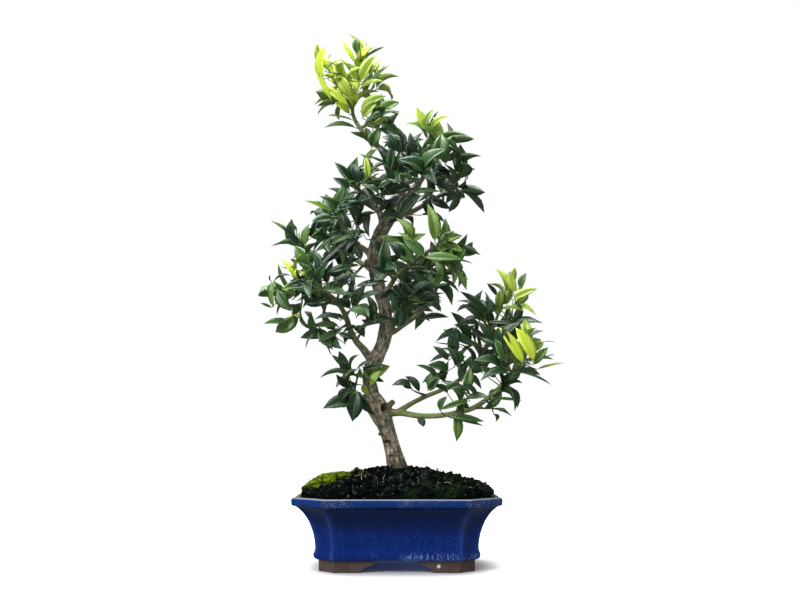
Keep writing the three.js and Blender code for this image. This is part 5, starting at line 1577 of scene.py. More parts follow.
@dataclass(frozen=True)
class BarkFinish:
    """Bark: fissured grey brown on the trunk, smooth green on the young branches, tan on cut scars."""

    old: tuple = (0.2, 0.17, 0.105)
    pale: tuple = (0.62, 0.56, 0.42)
    speckled: tuple = (0.46, 0.42, 0.33)
    # crack: dark colour of the fissures, partly their own, partly painted shade in them
    crack: tuple = (0.03, 0.022, 0.012)
    young: tuple = (0.12, 0.15, 0.05)
    dry: tuple = (0.24, 0.22, 0.12)
    fresh: tuple = (0.2, 0.28, 0.09)
    cut: tuple = (0.2, 0.145, 0.075)
    red: tuple = (0.2, 0.1, 0.05)
    tan: tuple = (0.5, 0.36, 0.17)
    # hollow: near-black fill of the wounds' hollows, partly their own dark wood, partly painted shade
    hollow: tuple = (0.012, 0.009, 0.006)
    # darker_at_soil: bark darker just above the soil line
    darker_at_soil: tuple = (0.03, 0.022, 0.014)
    furrows: tuple = (900.0, 900.0, 120.0)
    wrinkles: tuple = (110.0, 110.0, 900.0)
    plates: tuple = (240.0, 240.0, 130.0)
    speck_waves: float = 2400.0
    relief_depth: float = 0.0009

    def build(self) -> bpy.types.Material:
        """Build the material."""
        shader = Shader("bark")
        grain = shader.attribute("grain", "Vector")
        age, cut, fresh = (shader.attribute(name) for name in ("age", "scar", "fresh"))
        low = shader.attribute("low")
        furrow = shader.noise(shader.scaled(grain, self.furrows), 1.0, 4.0, 0.6)
        wrinkle = shader.noise(shader.scaled(grain, self.wrinkles), 1.0, 3.0, 0.8)
        plates = shader.noise(shader.scaled(grain, self.plates), 1.0, 4.0, 1.0)
        speck = shader.noise(grain, self.speck_waves, 2.0)
        # Cracks: the fissures are darkened, partly their own colour, partly painted shade
        cracks = furrow.step(0.46, 0.36).most(wrinkle.step(0.42, 0.34) * 0.7) * age.step(0.15, 0.6)
        wood = shader.mix(plates.step(0.4, 0.66), self.old, self.pale)
        wood = shader.mix(speck.step(0.55, 0.75) * 0.35, wood, self.speckled)
        wood = shader.mix(low * plates.step(0.5, 0.35) * 0.75, wood, self.red)
        skin = shader.mix(furrow.step(0.35, 0.7), self.young, self.dry)
        skin = shader.mix(fresh * plates.step(0.75, 0.5), skin, self.fresh)
        skin = shader.mix(fresh * plates.step(0.52, 0.66) * 0.8, skin, self.tan)
        colour = shader.mix((age - fresh * 0.4).step(0.12, 0.5), skin, wood)
        for share, tone in (
            (cracks * 0.85, self.crack),
            (cut * (0.55 + plates * 0.6), self.cut),
            (shader.attribute("bare") * 0.75, self.tan),
            # Painted shade, partly the wood's own dark, in the wounds' hollows and the grooves inside their
            # rings
            (shader.attribute("dark") * 0.9, self.hollow),
            # Darker just above the soil line
            (low.step(0.75, 1.0) * 0.7, self.darker_at_soil),
        ):
            colour = shader.mix(share, colour, tone)
        relief = furrow * 0.5 + wrinkle * 0.25 + plates * 0.4 - cracks * 0.6 + speck * 0.08
        shader.finish(colour, 0.62 + furrow * 0.25, shader.bump(relief, self.relief_depth, 0.85))
        return shader.material


@dataclass(frozen=True)
class BarkMark:
    """A healed wound on the trunk: its middle, its reach across and up, how it is raised and coloured, and
    how much painted shade darkens its hollow.
    """

    middle: tuple[float, float, float]
    reach: tuple[float, float]
    ring: float
    depth: float
    bare: float
    # dark: share of painted shade, partly the wood's own dark, in the hollow
    dark: float

    def distance(self, points: np.ndarray) -> np.ndarray:
        """Return how far points lie from the middle, 1 on the mark's ring."""
        across, up = self.reach
        return np.linalg.norm((points - self.middle) / (across, across * 2, up), axis=1)


@dataclass(frozen=True)
class TreeWood:
    """Trunk, branches and spurs, grown into one skin, with the bark's relief."""

    growth: Growth
    trunk_sides: int = 24
    branch_sides: int = 14
    spacing: float = 1.6
    voxel: float = 0.85
    smooth_rounds: int = 4
    spur_radii: tuple[float, float] = (2.0, 1.45)
    stub_flare: float = 1.5
    trunk_lumps: tuple[tuple[float, float, float], ...] = ((0.09, 3, 0.055), (0.09 * 0.6, 5, -0.09))
    furrow_depth: float = 0.28
    wrinkle_depth: float = 0.16
    lump_depth: float = 0.45
    relief: float = 1.4
    bark_sizes: tuple[float, float, float] = (2.4, 9.0, 1.7)
    soil_level: float = 96.0
    low_level: float = 150.0
    spur_lap: float = 1.2
    fresh_limbs: tuple[tuple[str, float], ...] = (("right_low", 0.9), ("right_rise", 0.5), ("left_low", 0.4))
    foot_domes: tuple[float, ...] = (0.0, 0.5, 0.85)
    tip_domes: tuple[float, ...] = (0.35, 0.7, 0.95)
    flatness: float = 0.6
    grain_gap: float = 37.0
    near_samples: int = 10
    young_radius: float = 1.8
    ageing: float = 4.2
    marks: tuple[BarkMark, ...] = (
        BarkMark((-25.0, -11.0, 156.5), (4.6, 5.8), 2.0, 0.6, 1.0, 0.0),
        BarkMark((-13.0, -12.5, 156.0), (4.2, 5.0), 1.3, 3.2, 0.0, 1.0),
        BarkMark((-9.5, -9.0, 122.0), (5.2, 2.4), 0.8, 1.3, 0.0, 1.0),
        BarkMark((-3.0, -9.0, 108.0), (5.2, 1.8), 0.6, 0.9, 0.0, 0.9),
        BarkMark((-18.0, -13.0, 145.0), (2.6, 3.4), 0.7, 0.6, 0.3, 0.4),
    )

    @staticmethod
    def frames(path: np.ndarray) -> tuple[np.ndarray, np.ndarray, np.ndarray]:
        """Carry a pair of cross directions along a path without twisting.

        Args:
            path: Its points.

        Returns:
            The tangents and the two cross directions.
        """
        tangents = np.gradient(path, axis=0)
        tangents /= np.linalg.norm(tangents, axis=1)[:, None]
        side = unit(np.cross(tangents[0], np.array([0.31, 0.9, 0.27])))
        sides = []
        for tangent in tangents:
            side = unit(side - tangent * side.dot(tangent))
            sides.append(side)
        return tangents, np.array(sides), np.cross(tangents, np.array(sides))

    def _tube(self, name: str, rows: np.ndarray, sides: int, lumpy: bool) -> bpy.types.Object:
        """Build one limb as a closed tube with rounded ends."""
        path, radii = rows[:, :3], rows[:, 3]
        tangents, right, over = self.frames(path)
        rings = []
        for dome in self.foot_domes:
            ring = math.sqrt(1 - (1 - dome) ** 2) if dome else 0.05
            place = path[0] - tangents[0] * radii[0] * (1 - dome) * self.flatness
            rings.append((place, right[0], over[0], radii[0] * ring))
        rings += [(path[i], right[i], over[i], radii[i]) for i in range(len(path))]
        for dome in self.tip_domes:
            place = path[-1] + tangents[-1] * radii[-1] * dome * self.flatness
            rings.append((place, right[-1], over[-1], radii[-1] * math.sqrt(1 - dome**2) + 0.02))
        angles = np.arange(sides) * (2 * math.pi / sides)
        points = []
        for number, (centre, side, up, radius) in enumerate(rings):
            for angle in angles:
                lump = 1.0
                for size, waves, twist in self.trunk_lumps if lumpy else ():
                    lump += size * math.sin(waves * angle + twist * number)
                points.append(centre + (side * math.cos(angle) + up * math.sin(angle)) * radius * lump)
        return make_object(name, self.growth.pot_frame.to_scene(points), ring_faces(len(rings), sides))

    def _limb_rows(self) -> dict[str, np.ndarray]:
        """List every limb, stub and spur as rows of points and radii."""
        limbs = {name: smooth_line(points, self.spacing) for name, points in LIMBS.items()}
        for number, (place, tip, radius) in enumerate(PRUNING_STUBS):
            point, width = Growth.on_limb("trunk", place)
            start = [*point, min(width, radius * self.stub_flare)]
            limbs[f"stub {number}"] = smooth_line([start, [*tip, radius]], self.spacing)
        for shoot in SHOOTS:
            if shoot.bearer in self.growth.bends:
                continue
            point, _ = Growth.on_limb(shoot.bearer, shoot.place)
            bend = self.growth.bends[shoot.name]
            end = bend.foot + bend.along(0.0) * self.spur_lap
            first, last = self.spur_radii
            limbs[f"spur {shoot.name}"] = smooth_line([[*point, first], [*end, last]], self.spacing)
        return limbs

    def build(self) -> None:
        """Build, dress and hand in the tree."""
        limbs = self._limb_rows()
        tubes = []
        for name, rows in limbs.items():
            sides = self.trunk_sides if name == "trunk" else self.branch_sides
            tubes.append(self._tube(f"limb {name}", rows, sides, name == "trunk"))
        piece = join_pieces(*tubes)
        piece.name = "tree_wood"
        self._add_bark(even_out(piece, self.smooth_rounds, self.voxel), limbs)
        dress(piece, BarkFinish().build())
        hand_in(piece, "bark", "tree")

    def _add_bark(self, piece: bpy.types.Object, limbs: dict[str, np.ndarray]) -> None:
        """Raise the bark's relief and store what its finish reads.

        Args:
            piece: The grown skin.
            limbs: The rows of every limb.
        """
        points = vertex_array(piece) / MM - self.growth.pot_frame.shift
        samples, owners = [], []
        for number, (name, rows) in enumerate(limbs.items()):
            tangents, right, over = self.frames(rows[:, :3])
            length = np.cumsum(np.r_[0, np.linalg.norm(np.diff(rows[:, :3], axis=0), axis=1)])
            for i, row in enumerate(rows):
                samples.append(row)
                owners.append((number, length[i], right[i], over[i], name))
        tree = search_tree([row[:3] for row in samples])
        grain, scar, fresh, size = [], [], [], []
        greenness = dict(self.fresh_limbs)
        for point in points:
            near = tree.find_n(point, self.near_samples)
            _, best, _ = min(near, key=lambda hit: hit[2] - samples[hit[1]][3])
            number, length, right, over, name = owners[best]
            radius = samples[best][3]
            out = point - samples[best][:3]
            angle = math.atan2(out.dot(over), out.dot(right))
            across = math.cos(angle) * radius + number * self.grain_gap
            grain.append((across, math.sin(angle) * radius, length))
            scar.append(1.0 if name.startswith("stub") else 0.0)
            fresh.append(greenness.get(name, 0.0))
            size.append(radius)
        grain, size = np.array(grain), np.array(size)
        age = np.clip((size - self.young_radius) / self.ageing, 0, 1)
        furrow_size, lump_size, wrinkle_size = self.bark_sizes
        furrows = fractal(grain * (1.0, 1.0, 0.14), furrow_size, 3)
        lumps = fractal(grain, lump_size, 2)
        wrinkles = fractal(grain * (0.12, 0.12, 1.0), wrinkle_size, 2)
        low = smoothstep(points[:, 2], self.low_level, self.soil_level - 4)
        rise = furrows * self.furrow_depth + wrinkles * self.wrinkle_depth * (0.4 + low)
        rise = (rise + lumps * self.lump_depth) * smoothstep(size, 1.0, 8.0) * self.relief
        # dark: where the wounds' hollows and the grooves inside their rings get painted shade
        bare, dark = np.zeros(len(points)), np.zeros(len(points))
        for mark in self.marks:
            away = mark.distance(points)
            inside = 1 - smoothstep(away, 0.55, 1.0)
            outline = np.exp(-((away - 1.0) / 0.28) ** 2)
            rise += outline * mark.ring - inside * mark.depth
            bare = np.maximum(bare, inside * mark.bare)
            dark = np.maximum(dark, inside * mark.dark)
            dark = np.maximum(dark, np.exp(-((away - 0.86) / 0.12) ** 2) * 0.7 * max(mark.bare, mark.dark))
        raised = points + self.growth.pot_frame.shift + normal_array(piece) * rise[:, None]
        move_vertices(piece, raised * MM)
        set_attributes(
            piece, bare=bare, dark=dark, grain=grain * MM, age=age, scar=scar, fresh=fresh, low=low
        )


@dataclass(frozen=True)
class GlazeFinish:
    """Cobalt glaze, darker towards the top, with a painted highlight along the ridges."""

    night: tuple = (0.001, 0.013, 0.075)
    cobalt: tuple = (0.001, 0.0165, 0.15)
    bright: tuple = (0.003, 0.05, 0.33)
    fleck: tuple = (0.03, 0.13, 0.6)
    # edge: colour of the painted highlight along the ridges between the panels
    edge: tuple = (0.04, 0.1, 0.42)
    rim_band: tuple = (0.005, 0.028, 0.12)
    crystal: tuple = (0.2, 0.36, 0.8)
    lime: tuple = (0.42, 0.43, 0.42)
    roughness: float = 0.1
    shine: float = 0.4
    dirt: tuple = (0.018, 0.016, 0.012)
    crust: tuple = (0.5, 0.5, 0.47)
    streaks: tuple = (240.0, 240.0, 22.0)
    runs: tuple = (1000.0, 1000.0, 90.0)
    cloud_waves: float = 34.0
    fleck_cells: float = 950.0
    speck_waves: float = 1500.0
    relief_depth: float = 0.0007

    def build(self) -> bpy.types.Material:
        """Build the material."""
        shader = Shader("cobalt glaze")
        place = shader.place()
        height = shader.part(place, "Z") * (1 / MM)
        ridge = shader.attribute("ridge")
        streak = shader.noise(shader.scaled(place, self.streaks), 1.0, 4.0, 0.3)
        runs = shader.noise(shader.scaled(place, self.runs), 1.0, 3.0)
        cloud = shader.noise(place, self.cloud_waves, 3.0)
        fleck = shader.cells(place, self.fleck_cells)
        speck = shader.noise(place, self.speck_waves, 2.0)
        # Darker navy towards the top, lighter cobalt lower down, broken by streaks and clouds
        cobalt_share = height.step(54.0, 24.0) + (streak - 0.5) * 0.7 + (cloud - 0.5) * 0.7
        base = shader.mix(cobalt_share.step(-0.1, 0.8), self.night, self.cobalt)
        base = shader.mix(runs.step(0.42, 0.7) * cobalt_share.step(0.35, 0.9) * 0.5, base, self.bright)
        flecks = fleck.step(0.34, 0.14) * streak.step(0.42, 0.6) * cobalt_share.step(0.15, 0.7)
        base = shader.mix(flecks * 0.55, base, self.fleck)
        foot = height.step(21.0, 12.5) * cloud.step(0.46, 0.6)
        base = shader.mix(foot * runs.step(0.45, 0.65) * 0.75, base, self.crystal)
        # Painted highlight: the ridges below the rim are lightened towards a paler blue
        base = shader.mix(ridge * 0.5 * height.step(60.0, 50.0), base, self.edge)
        rim = height.step(61.0, 63.0)
        band = shader.mix(speck.step(0.42, 0.62) * 0.5, self.rim_band, self.bright)
        base = shader.mix(rim, base, shader.mix(fleck.step(0.2, 0.08) * 0.5, band, self.fleck))
        scale = height.step(59.0, 62.5) * speck.step(0.57, 0.66) * cloud.step(0.5, 0.6)
        worn = height.step(68.8, 69.8) * speck.step(0.2, 0.6)
        marks = scale.most(worn)
        colour = shader.mix(marks * 0.7, base, self.lime)
        soiled = shader.attribute("soiled")
        left = (shader.part(place, "X") * (1 / MM)).step(-70.0, -90.0)
        colour = shader.mix(soiled * cloud.step(0.3, 0.45) * 0.9, colour, self.dirt)
        colour = shader.mix(soiled * (left * 0.7 + 0.3) * speck.step(0.52, 0.6), colour, self.crust)
        roughness = self.roughness + marks.most(soiled) * 0.45 + speck * 0.04
        normal = shader.bump(runs * 0.12 + streak * 0.5 + cloud, self.relief_depth, 0.45)
        shader.finish(colour, roughness, normal, Specular_IOR_Level=self.shine)
        return shader.material


@dataclass(frozen=True)
class ClayFinish:
    """The bare clay of the feet: dark brown, sandy and rough."""

    clay: tuple = (0.075, 0.048, 0.044)
    light: tuple = (0.2, 0.15, 0.13)
    rust: tuple = (0.07, 0.03, 0.02)
    sand: tuple = (0.4, 0.34, 0.28)
    chalk: tuple = (0.85, 0.85, 0.82)
    grain_waves: float = 1900.0
    blotch_waves: float = 120.0
    sand_cells: float = 1100.0
    relief_depth: float = 0.0006

    def build(self) -> bpy.types.Material:
        """Build the material."""
        shader = Shader("bare clay")
        place = shader.place()
        grain = shader.noise(place, self.grain_waves, 3.0)
        blotch = shader.noise(place, self.blotch_waves, 3.0)
        sand = shader.cells(place, self.sand_cells)
        colour = shader.mix(grain.step(0.42, 0.7) * 0.6, self.clay, self.light)
        colour = shader.mix(blotch.step(0.45, 0.7) * 0.5, colour, self.rust)
        colour = shader.mix(sand.step(0.16, 0.05) * 0.6, colour, self.sand)
        colour = shader.mix(shader.attribute("spot"), colour, self.chalk)
        shader.finish(colour, 0.78, shader.bump(grain * 0.6 + sand, self.relief_depth, 0.8))
        return shader.material


def cut_away(piece: bpy.types.Object, cutter: bpy.types.Object) -> None:
    """Cut one closed mesh out of another, and drop the cutter."""
    cut = piece.modifiers.new("cut", "BOOLEAN")
    cut.operation, cut.solver, cut.object = "DIFFERENCE", "EXACT", cutter
    bake_modifiers(piece)
    bpy.data.objects.remove(cutter)


@dataclass(frozen=True)
class Pot:
    """The eight-sided pot: its outline, its profile and its bracket feet."""

    pot_frame: PotFrame
    half_length: float = 101.0
    half_depth: float = 76.0
    corner_cut: tuple[float, float] = (31.0, 27.0)
    long_points: int = 36
    corner_points: int = 20
    softness: tuple[float, ...] = (1, 2, 3, 2, 1)
    profile_steps: int = 5
    profile: tuple[tuple[float, float, float], ...] = (
        (25, 11, 1.2), (21.6, 13, 1.6), (20.8, 16.5, 1.8), (22.4, 21.5, 2.2), (22, 28, 2.4), (20.2, 37, 2.4),
        (16.4, 47, 2.4), (11, 55.5, 2.2), (4.6, 61.5, 1.6), (0.6, 63, 1), (0, 68, 1), (1.4, 70, 1),
        (6.6, 70, 1), (8.4, 67, 1), (18, 56, 1.4), (27.5, 40, 1.6), (30, 17, 1.6),
    )
    foot: tuple[float, float, float] = (26.0, 11.0, 1.2)
    foot_height: float = 11.0
    foot_lap: float = 0.6
    foot_bevel: tuple[float, float] = (0.5, 0.6)
    front_arch: tuple = ((35, -1), (35, 0), (33, 2.5), (29, 5), (25, 6), (21, 8.5), (19, 11.4))
    side_arch: tuple = ((24, -1), (24, 0), (22, 2.5), (19, 5), (16, 6), (13, 8.5), (11.5, 11.4))
    drain: tuple[float, float] = (42.0, 7.0)
    drain_sides: int = 40
    drain_depth: float = 30.0
    clay_voxel: float = 0.8
    clay_rounds: int = 3
    spot: tuple[float, float, float, float] = (39.7, -50.0, 6.1, 1.7)
    sharp_angle: float = 35.0
    rim_height: float = 69.5
    rim_top: float = 70.0
    fullness: float = 0.4
    ridge_width: float = 1.6
    soiled_insets: tuple[float, float] = (2.0, 4.5)

    def outline(self, inset: float, hollow: float) -> np.ndarray:
        """Draw the pot's outline at an inset, its eight panels hollowed.

        Args:
            inset: How far inside the rim's outline it lies.
            hollow: How far the middle of each panel is sunk.

        Returns:
            Its points, with each one's nearness to a ridge as a third column.
        """
        cut_x, cut_y = self.corner_cut
        slant = math.hypot(cut_x, cut_y)
        across, up = cut_y / slant, cut_x / slant
        length, depth = self.half_length - inset, self.half_depth - inset
        reach = across * self.half_length + up * (self.half_depth - cut_y) - inset
        ridge_x, ridge_y = (reach - up * depth) / across, (reach - across * length) / up
        ridges = np.array([
            (length, -ridge_y), (length, ridge_y), (ridge_x, depth), (-ridge_x, depth),
            (-length, ridge_y), (-length, -ridge_y), (-ridge_x, -depth), (ridge_x, -depth),
        ])
        rows = []
        for i, start in enumerate(ridges):
            edge = ridges[(i + 1) % len(ridges)] - start
            width = np.linalg.norm(edge)
            inwards = np.array([-edge[1], edge[0]]) / width
            count = self.corner_points if i % 2 else self.long_points
            for step in range(count):
                share = (1 - math.cos(math.pi * step / count)) / 2
                sink = hollow * (1 - (2 * share - 1) ** 4)
                near = math.exp(-min(share, 1 - share) * width / self.ridge_width)
                rows.append((*(start + edge * share + inwards * sink), near))
        rows = np.array(rows)
        weights = np.array(self.softness, float) / sum(self.softness)
        middle = len(weights) // 2
        return sum(weight * np.roll(rows, i - middle, axis=0) for i, weight in enumerate(weights))

    def _wall(self) -> bpy.types.Object:
        """Build the glazed wall and floor, with the two drain holes."""
        rows = self._fine_profile()
        points, ridge, soiled = [], [], []
        past_rim = False
        for inset, height, hollow in rows:
            ring = self.outline(inset, hollow)
            past_rim = past_rim or height > self.rim_height
            soiled += [smoothstep(inset, *self.soiled_insets) if past_rim else 0.0] * len(ring)
            points += [(x, y, height) for x, y, _ in ring]
            ridge += [near for _, _, near in ring]
        body = make_object("glazed_pot", self.pot_frame.to_scene(points), ring_faces(len(rows), len(ring)))
        point_faces_outwards(body)
        # ridge: nearness to a ridge, where the glaze paints its highlight
        set_attributes(body, ridge=ridge, soiled=soiled)
        for side in (-1, 1):
            cut_away(body, self._drain_cutter(side))
        dress(body, GlazeFinish().build())
        body.data.set_sharp_from_angle(angle=math.radians(self.sharp_angle))
        return body

    def _fine_profile(self) -> list[np.ndarray]:
        """Round the profile's corners, keeping its lowest and its last point."""
        rows = np.array(self.profile, float)
        rows = np.vstack([2 * rows[0] - rows[1], rows, 2 * rows[-1] - rows[-2]])
        fine = []
        for a, b, c, d in zip(rows, rows[1:], rows[2:], rows[3:]):
            for step in range(self.profile_steps):
                t = step / self.profile_steps
                left, right = (c - a) * self.fullness, (d - b) * self.fullness
                fine.append((2 * t**3 - 3 * t**2 + 1) * b + (t**3 - 2 * t**2 + t) * left
                            + (3 * t**2 - 2 * t**3) * c + (t**3 - t**2) * right)
        fine.append(rows[-2])
        for row in fine:
            row[1] = min(max(row[1], self.foot_height), self.rim_top)
        return fine

    def _drain_cutter(self, side: int) -> bpy.types.Object:
        """Build the round bar that cuts a drain hole."""
        x, radius = self.drain[0] * side, self.drain[1]
        angles = np.arange(self.drain_sides) * (2 * math.pi / self.drain_sides)
        ends = (0.0, self.drain_depth)
        rings = [(x + radius * math.cos(a), radius * math.sin(a), z) for z in ends for a in angles]
        return make_object("drain cutter", self.pot_frame.to_scene(rings), ring_faces(2, len(angles)))

    def _arch_cutter(self, half: Sequence, along_x: bool) -> bpy.types.Object:
        """Build the bar that cuts an arch between two feet."""
        shape = [*half, *[(-across, z) for across, z in reversed(half)]]
        run = self.half_length * 1.5
        rings = []
        for end in (-run, run):
            rings += [(end, across, z) if along_x else (across, end, z) for across, z in shape]
        cutter = make_object("arch cutter", self.pot_frame.to_scene(rings), ring_faces(2, len(shape)))
        return point_faces_outwards(cutter)

    def _feet(self) -> bpy.types.Object:
        """Build the clay skirt with its four bracket feet."""
        inset, wall, hollow = self.foot
        top = self.foot_height + self.foot_lap
        bevel, lip = self.foot_bevel
        rings = []
        for ring_inset, height, sink in (
            (inset + bevel, 0, hollow), (inset, lip, hollow), (inset, top, hollow),
            (inset + wall, top, 0), (inset + wall, bevel, 0), (inset + wall - bevel, 0, 0),
        ):
            rings.append([(x, y, height) for x, y, _ in self.outline(ring_inset, sink)])
        count = len(rings[0])
        faces = ring_faces(len(rings) + 1, count, closed=False)
        total = len(rings) * count
        faces = [tuple(i % total for i in face) for face in faces]
        feet = make_object("feet", self.pot_frame.to_scene([p for ring in rings for p in ring]), faces)
        point_faces_outwards(feet)
        for half, along_x in ((self.front_arch, False), (self.side_arch, True)):
            cut_away(feet, self._arch_cutter(half, along_x))
        even_out(feet, self.clay_rounds, self.clay_voxel)
        points = vertex_array(feet) / MM - self.pot_frame.shift
        rise = fractal(points, 7.0, 2) * 0.22 + fractal(points, 1.6, 2) * 0.1
        rise *= smoothstep(points[:, 2], 0.3, 1.5)
        points += normal_array(feet) * rise[:, None]
        points[:, 2] = np.maximum(points[:, 2], 0.0)
        move_vertices(feet, self.pot_frame.to_scene(points))
        x, y, z, radius = self.spot
        away = np.linalg.norm((points - (x, y, z)) * (1, 0.4, 1), axis=1)
        set_attributes(feet, spot=1 - smoothstep(away, radius - 0.3, radius + 0.2))
        dress(feet, ClayFinish().build())
        return feet

    def build(self) -> None:
        """Build and hand in the pot."""
        piece = join_pieces(self._wall(), self._feet())
        hand_in(piece, "pot_glaze", "pot")


@dataclass(frozen=True)
class CrumbFinish:
    """Damp growing mix: nearly black crumbs, with brown and straw-coloured bits."""

    by_shade: tuple = (
        (0.0, (0.0003, 0.0008, 0.0009)), (0.5, (0.0025, 0.0045, 0.0045)), (0.78, (0.018, 0.026, 0.024)),
        (0.92, (0.06, 0.065, 0.045)), (1.0, (0.6, 0.56, 0.34)),
    )
    earth: tuple = (0.006, 0.006, 0.004)
    film: tuple = (0.014, 0.03, 0.01)
    grain: float = 2200.0
    shine: float = 0.03
    relief_depth: float = 0.0007

    def build(self) -> bpy.types.Material:
        """Build the material."""
        shader = Shader("growing mix")
        place = shader.place()
        grain = shader.noise(place, self.grain, 3.0)
        lump = shader.noise(place, self.grain / 6, 3.0)
        shade = shader.attribute("shade") + (grain - 0.5) * 0.12
        colour = shader.ramp(shade, self.by_shade)
        colour = shader.mix(lump.step(0.4, 0.7) * 0.3, colour, self.earth)
        green = shader.attribute("green") * lump.step(0.35, 0.6)
        colour = shader.mix(green * 0.7, colour, self.film)
        normal = shader.bump(grain + lump, self.relief_depth, 0.9)
        shader.finish(colour, 0.75 + grain * 0.2, normal, Specular_IOR_Level=self.shine)
        return shader.material


@dataclass(frozen=True)
class Layer:
    """A layer of scattered forms: how many to the square metre, how large in millimetres, and how pale."""

    name: str
    density: float
    least: float
    most: float
    palest: float
    seed: int

    def inputs(self) -> dict[str, Any]:
        """Name the inputs of the scattering tree."""
        return {
            "Density": self.density, "Least": self.least * MM, "Most": self.most * MM,
            "Palest": self.palest, "Seed": self.seed,
        }


class Scatter:
    """The tree that scatters small forms over a surface."""

    LEAN = 0.85
    HIGHEST_FORM = 7

    def __init__(self, name: str, upright: float) -> None:
        """Build the tree.

        Args:
            name: Its name.
            upright: 1 where the forms stand along the surface's normal, 0 where they lie any way.
        """
        recipe = Recipe(name)
        forms = recipe.input("Forms", "Collection")
        material = recipe.input("Material", "Material")
        density = recipe.input("Density", "Float", 1000.0)
        least = recipe.input("Least", "Float", 0.001)
        most = recipe.input("Most", "Float", 0.003)
        palest = recipe.input("Palest", "Float", 1.0)
        seed = recipe.input("Seed", "Int", 1)
        spread = {"Mesh": recipe.geometry, "Density": density * recipe.named("cover"), "Seed": seed}
        dots = recipe.node("GeometryNodeDistributePointsOnFaces", values=spread)
        stand = Signal(recipe, dots.socket.node.outputs["Rotation"])
        shaded = recipe.store(dots, "shade", recipe.random(seed, 3) * palest)
        leaning = 1 - upright * self.LEAN
        limit = (math.pi * leaning, math.pi * leaning, math.pi)
        turns = {"Min": tuple(-angle for angle in limit), "Max": limit, "Seed": seed + 5}
        turned = recipe.node("FunctionNodeRandomValue", {"data_type": "FLOAT_VECTOR"}, turns)
        turned = recipe.node("FunctionNodeEulerToRotation", values={"Euler": turned})
        turning = {"Rotation": stand, "Rotate By": turned}
        laid = recipe.node("FunctionNodeRotateRotation", {"rotation_space": "LOCAL"}, turning)
        choice = {"Min": 0, "Max": self.HIGHEST_FORM, "Seed": seed + 9}
        bits = recipe.node("GeometryNodeInstanceOnPoints", values={
            "Points": shaded,
            "Instance": recipe.forms(forms),
            "Pick Instance": True,
            "Instance Index": recipe.node("FunctionNodeRandomValue", {"data_type": "INT"}, choice),
            "Rotation": laid,
            "Scale": least + (most - least) * recipe.random(seed, 7) ** 2,
        })
        recipe.finish(bits, material)
        self.recipe = recipe

    def over(
        self,
        surface: bpy.types.Object,
        layer: Layer,
        forms: bpy.types.Collection,
        material: bpy.types.Material,
    ) -> bpy.types.Object:
        """Scatter a layer over a copy of a surface.

        Args:
            surface: The surface, which stays as it is.
            layer: How many forms there are, and how large.
            forms: The forms to choose from.
            material: What they are made of.

        Returns:
            The scattered forms alone, as a plain mesh.
        """
        values = layer.inputs() | {"Forms": forms, "Material": material}
        return self.recipe.apply(copy_object(layer.name, surface), values)


def crumb_form(name: str, seed: float, stretch: tuple[float, float, float]) -> bpy.types.Object:
    """Build one rough crumb of 20 faces about 1 across."""
    work = bmesh.new()
    bmesh.ops.create_icosphere(work, subdivisions=1, radius=0.5)
    for vertex in work.verts:
        rough = 1 + 0.45 * noise.noise(vertex.co * 2.3 + Vector((seed, seed * 0.7, -seed)))
        vertex.co = Vector(c * s * rough for c, s in zip(vertex.co, stretch))
    form = make_form(name, [], [])
    work.to_mesh(form.data)
    work.free()
    return form


def strand_form(name: str, bend: float, radius: float, steps: int = 5) -> bpy.types.Object:
    """Build a bent straw about 1 long, lying flat."""
    points = []
    for step in range(steps + 1):
        share = step / steps - 0.5
        girth = radius * (1 - 0.5 * abs(share) * 2)
        centre = Vector((share, bend * (0.25 - share * share), bend * 0.3 * math.sin(share * 6)))
        points += [centre + Vector((0, math.cos(a), math.sin(a))) * girth for a in (0.0, 2.1, 4.2)]
    return point_faces_outwards(make_form(name, points, ring_faces(steps + 1, 3)))


def tuft_form(name: str, seed: int, leaflets: int = 6) -> bpy.types.Object:
    """Build a moss tuft: slim pyramids that fan out from one foot, about 1 high."""
    draws = Draws(seed + 300)
    sides = ((0, 2, 1), (0, 1, 3), (1, 2, 3), (2, 0, 3))
    points, faces = [], []
    for number in range(leaflets):
        angle = number * 2.4 + draws.between(-0.3, 0.3)
        lean = draws.between(0.1, 0.75)
        height = draws.between(0.7, 1.0)
        way = np.array([math.cos(angle), math.sin(angle), 0.0])
        side = np.array([-way[1], way[0], 0.0]) * draws.between(0.08, 0.13)
        start = len(points)
        points += [way * 0.04 + side, way * 0.04 - side, way * 0.2, way * lean + UP * height]
        faces += [tuple(start + i for i in corners) for corners in sides]
    return point_faces_outwards(make_form(name, points, faces))


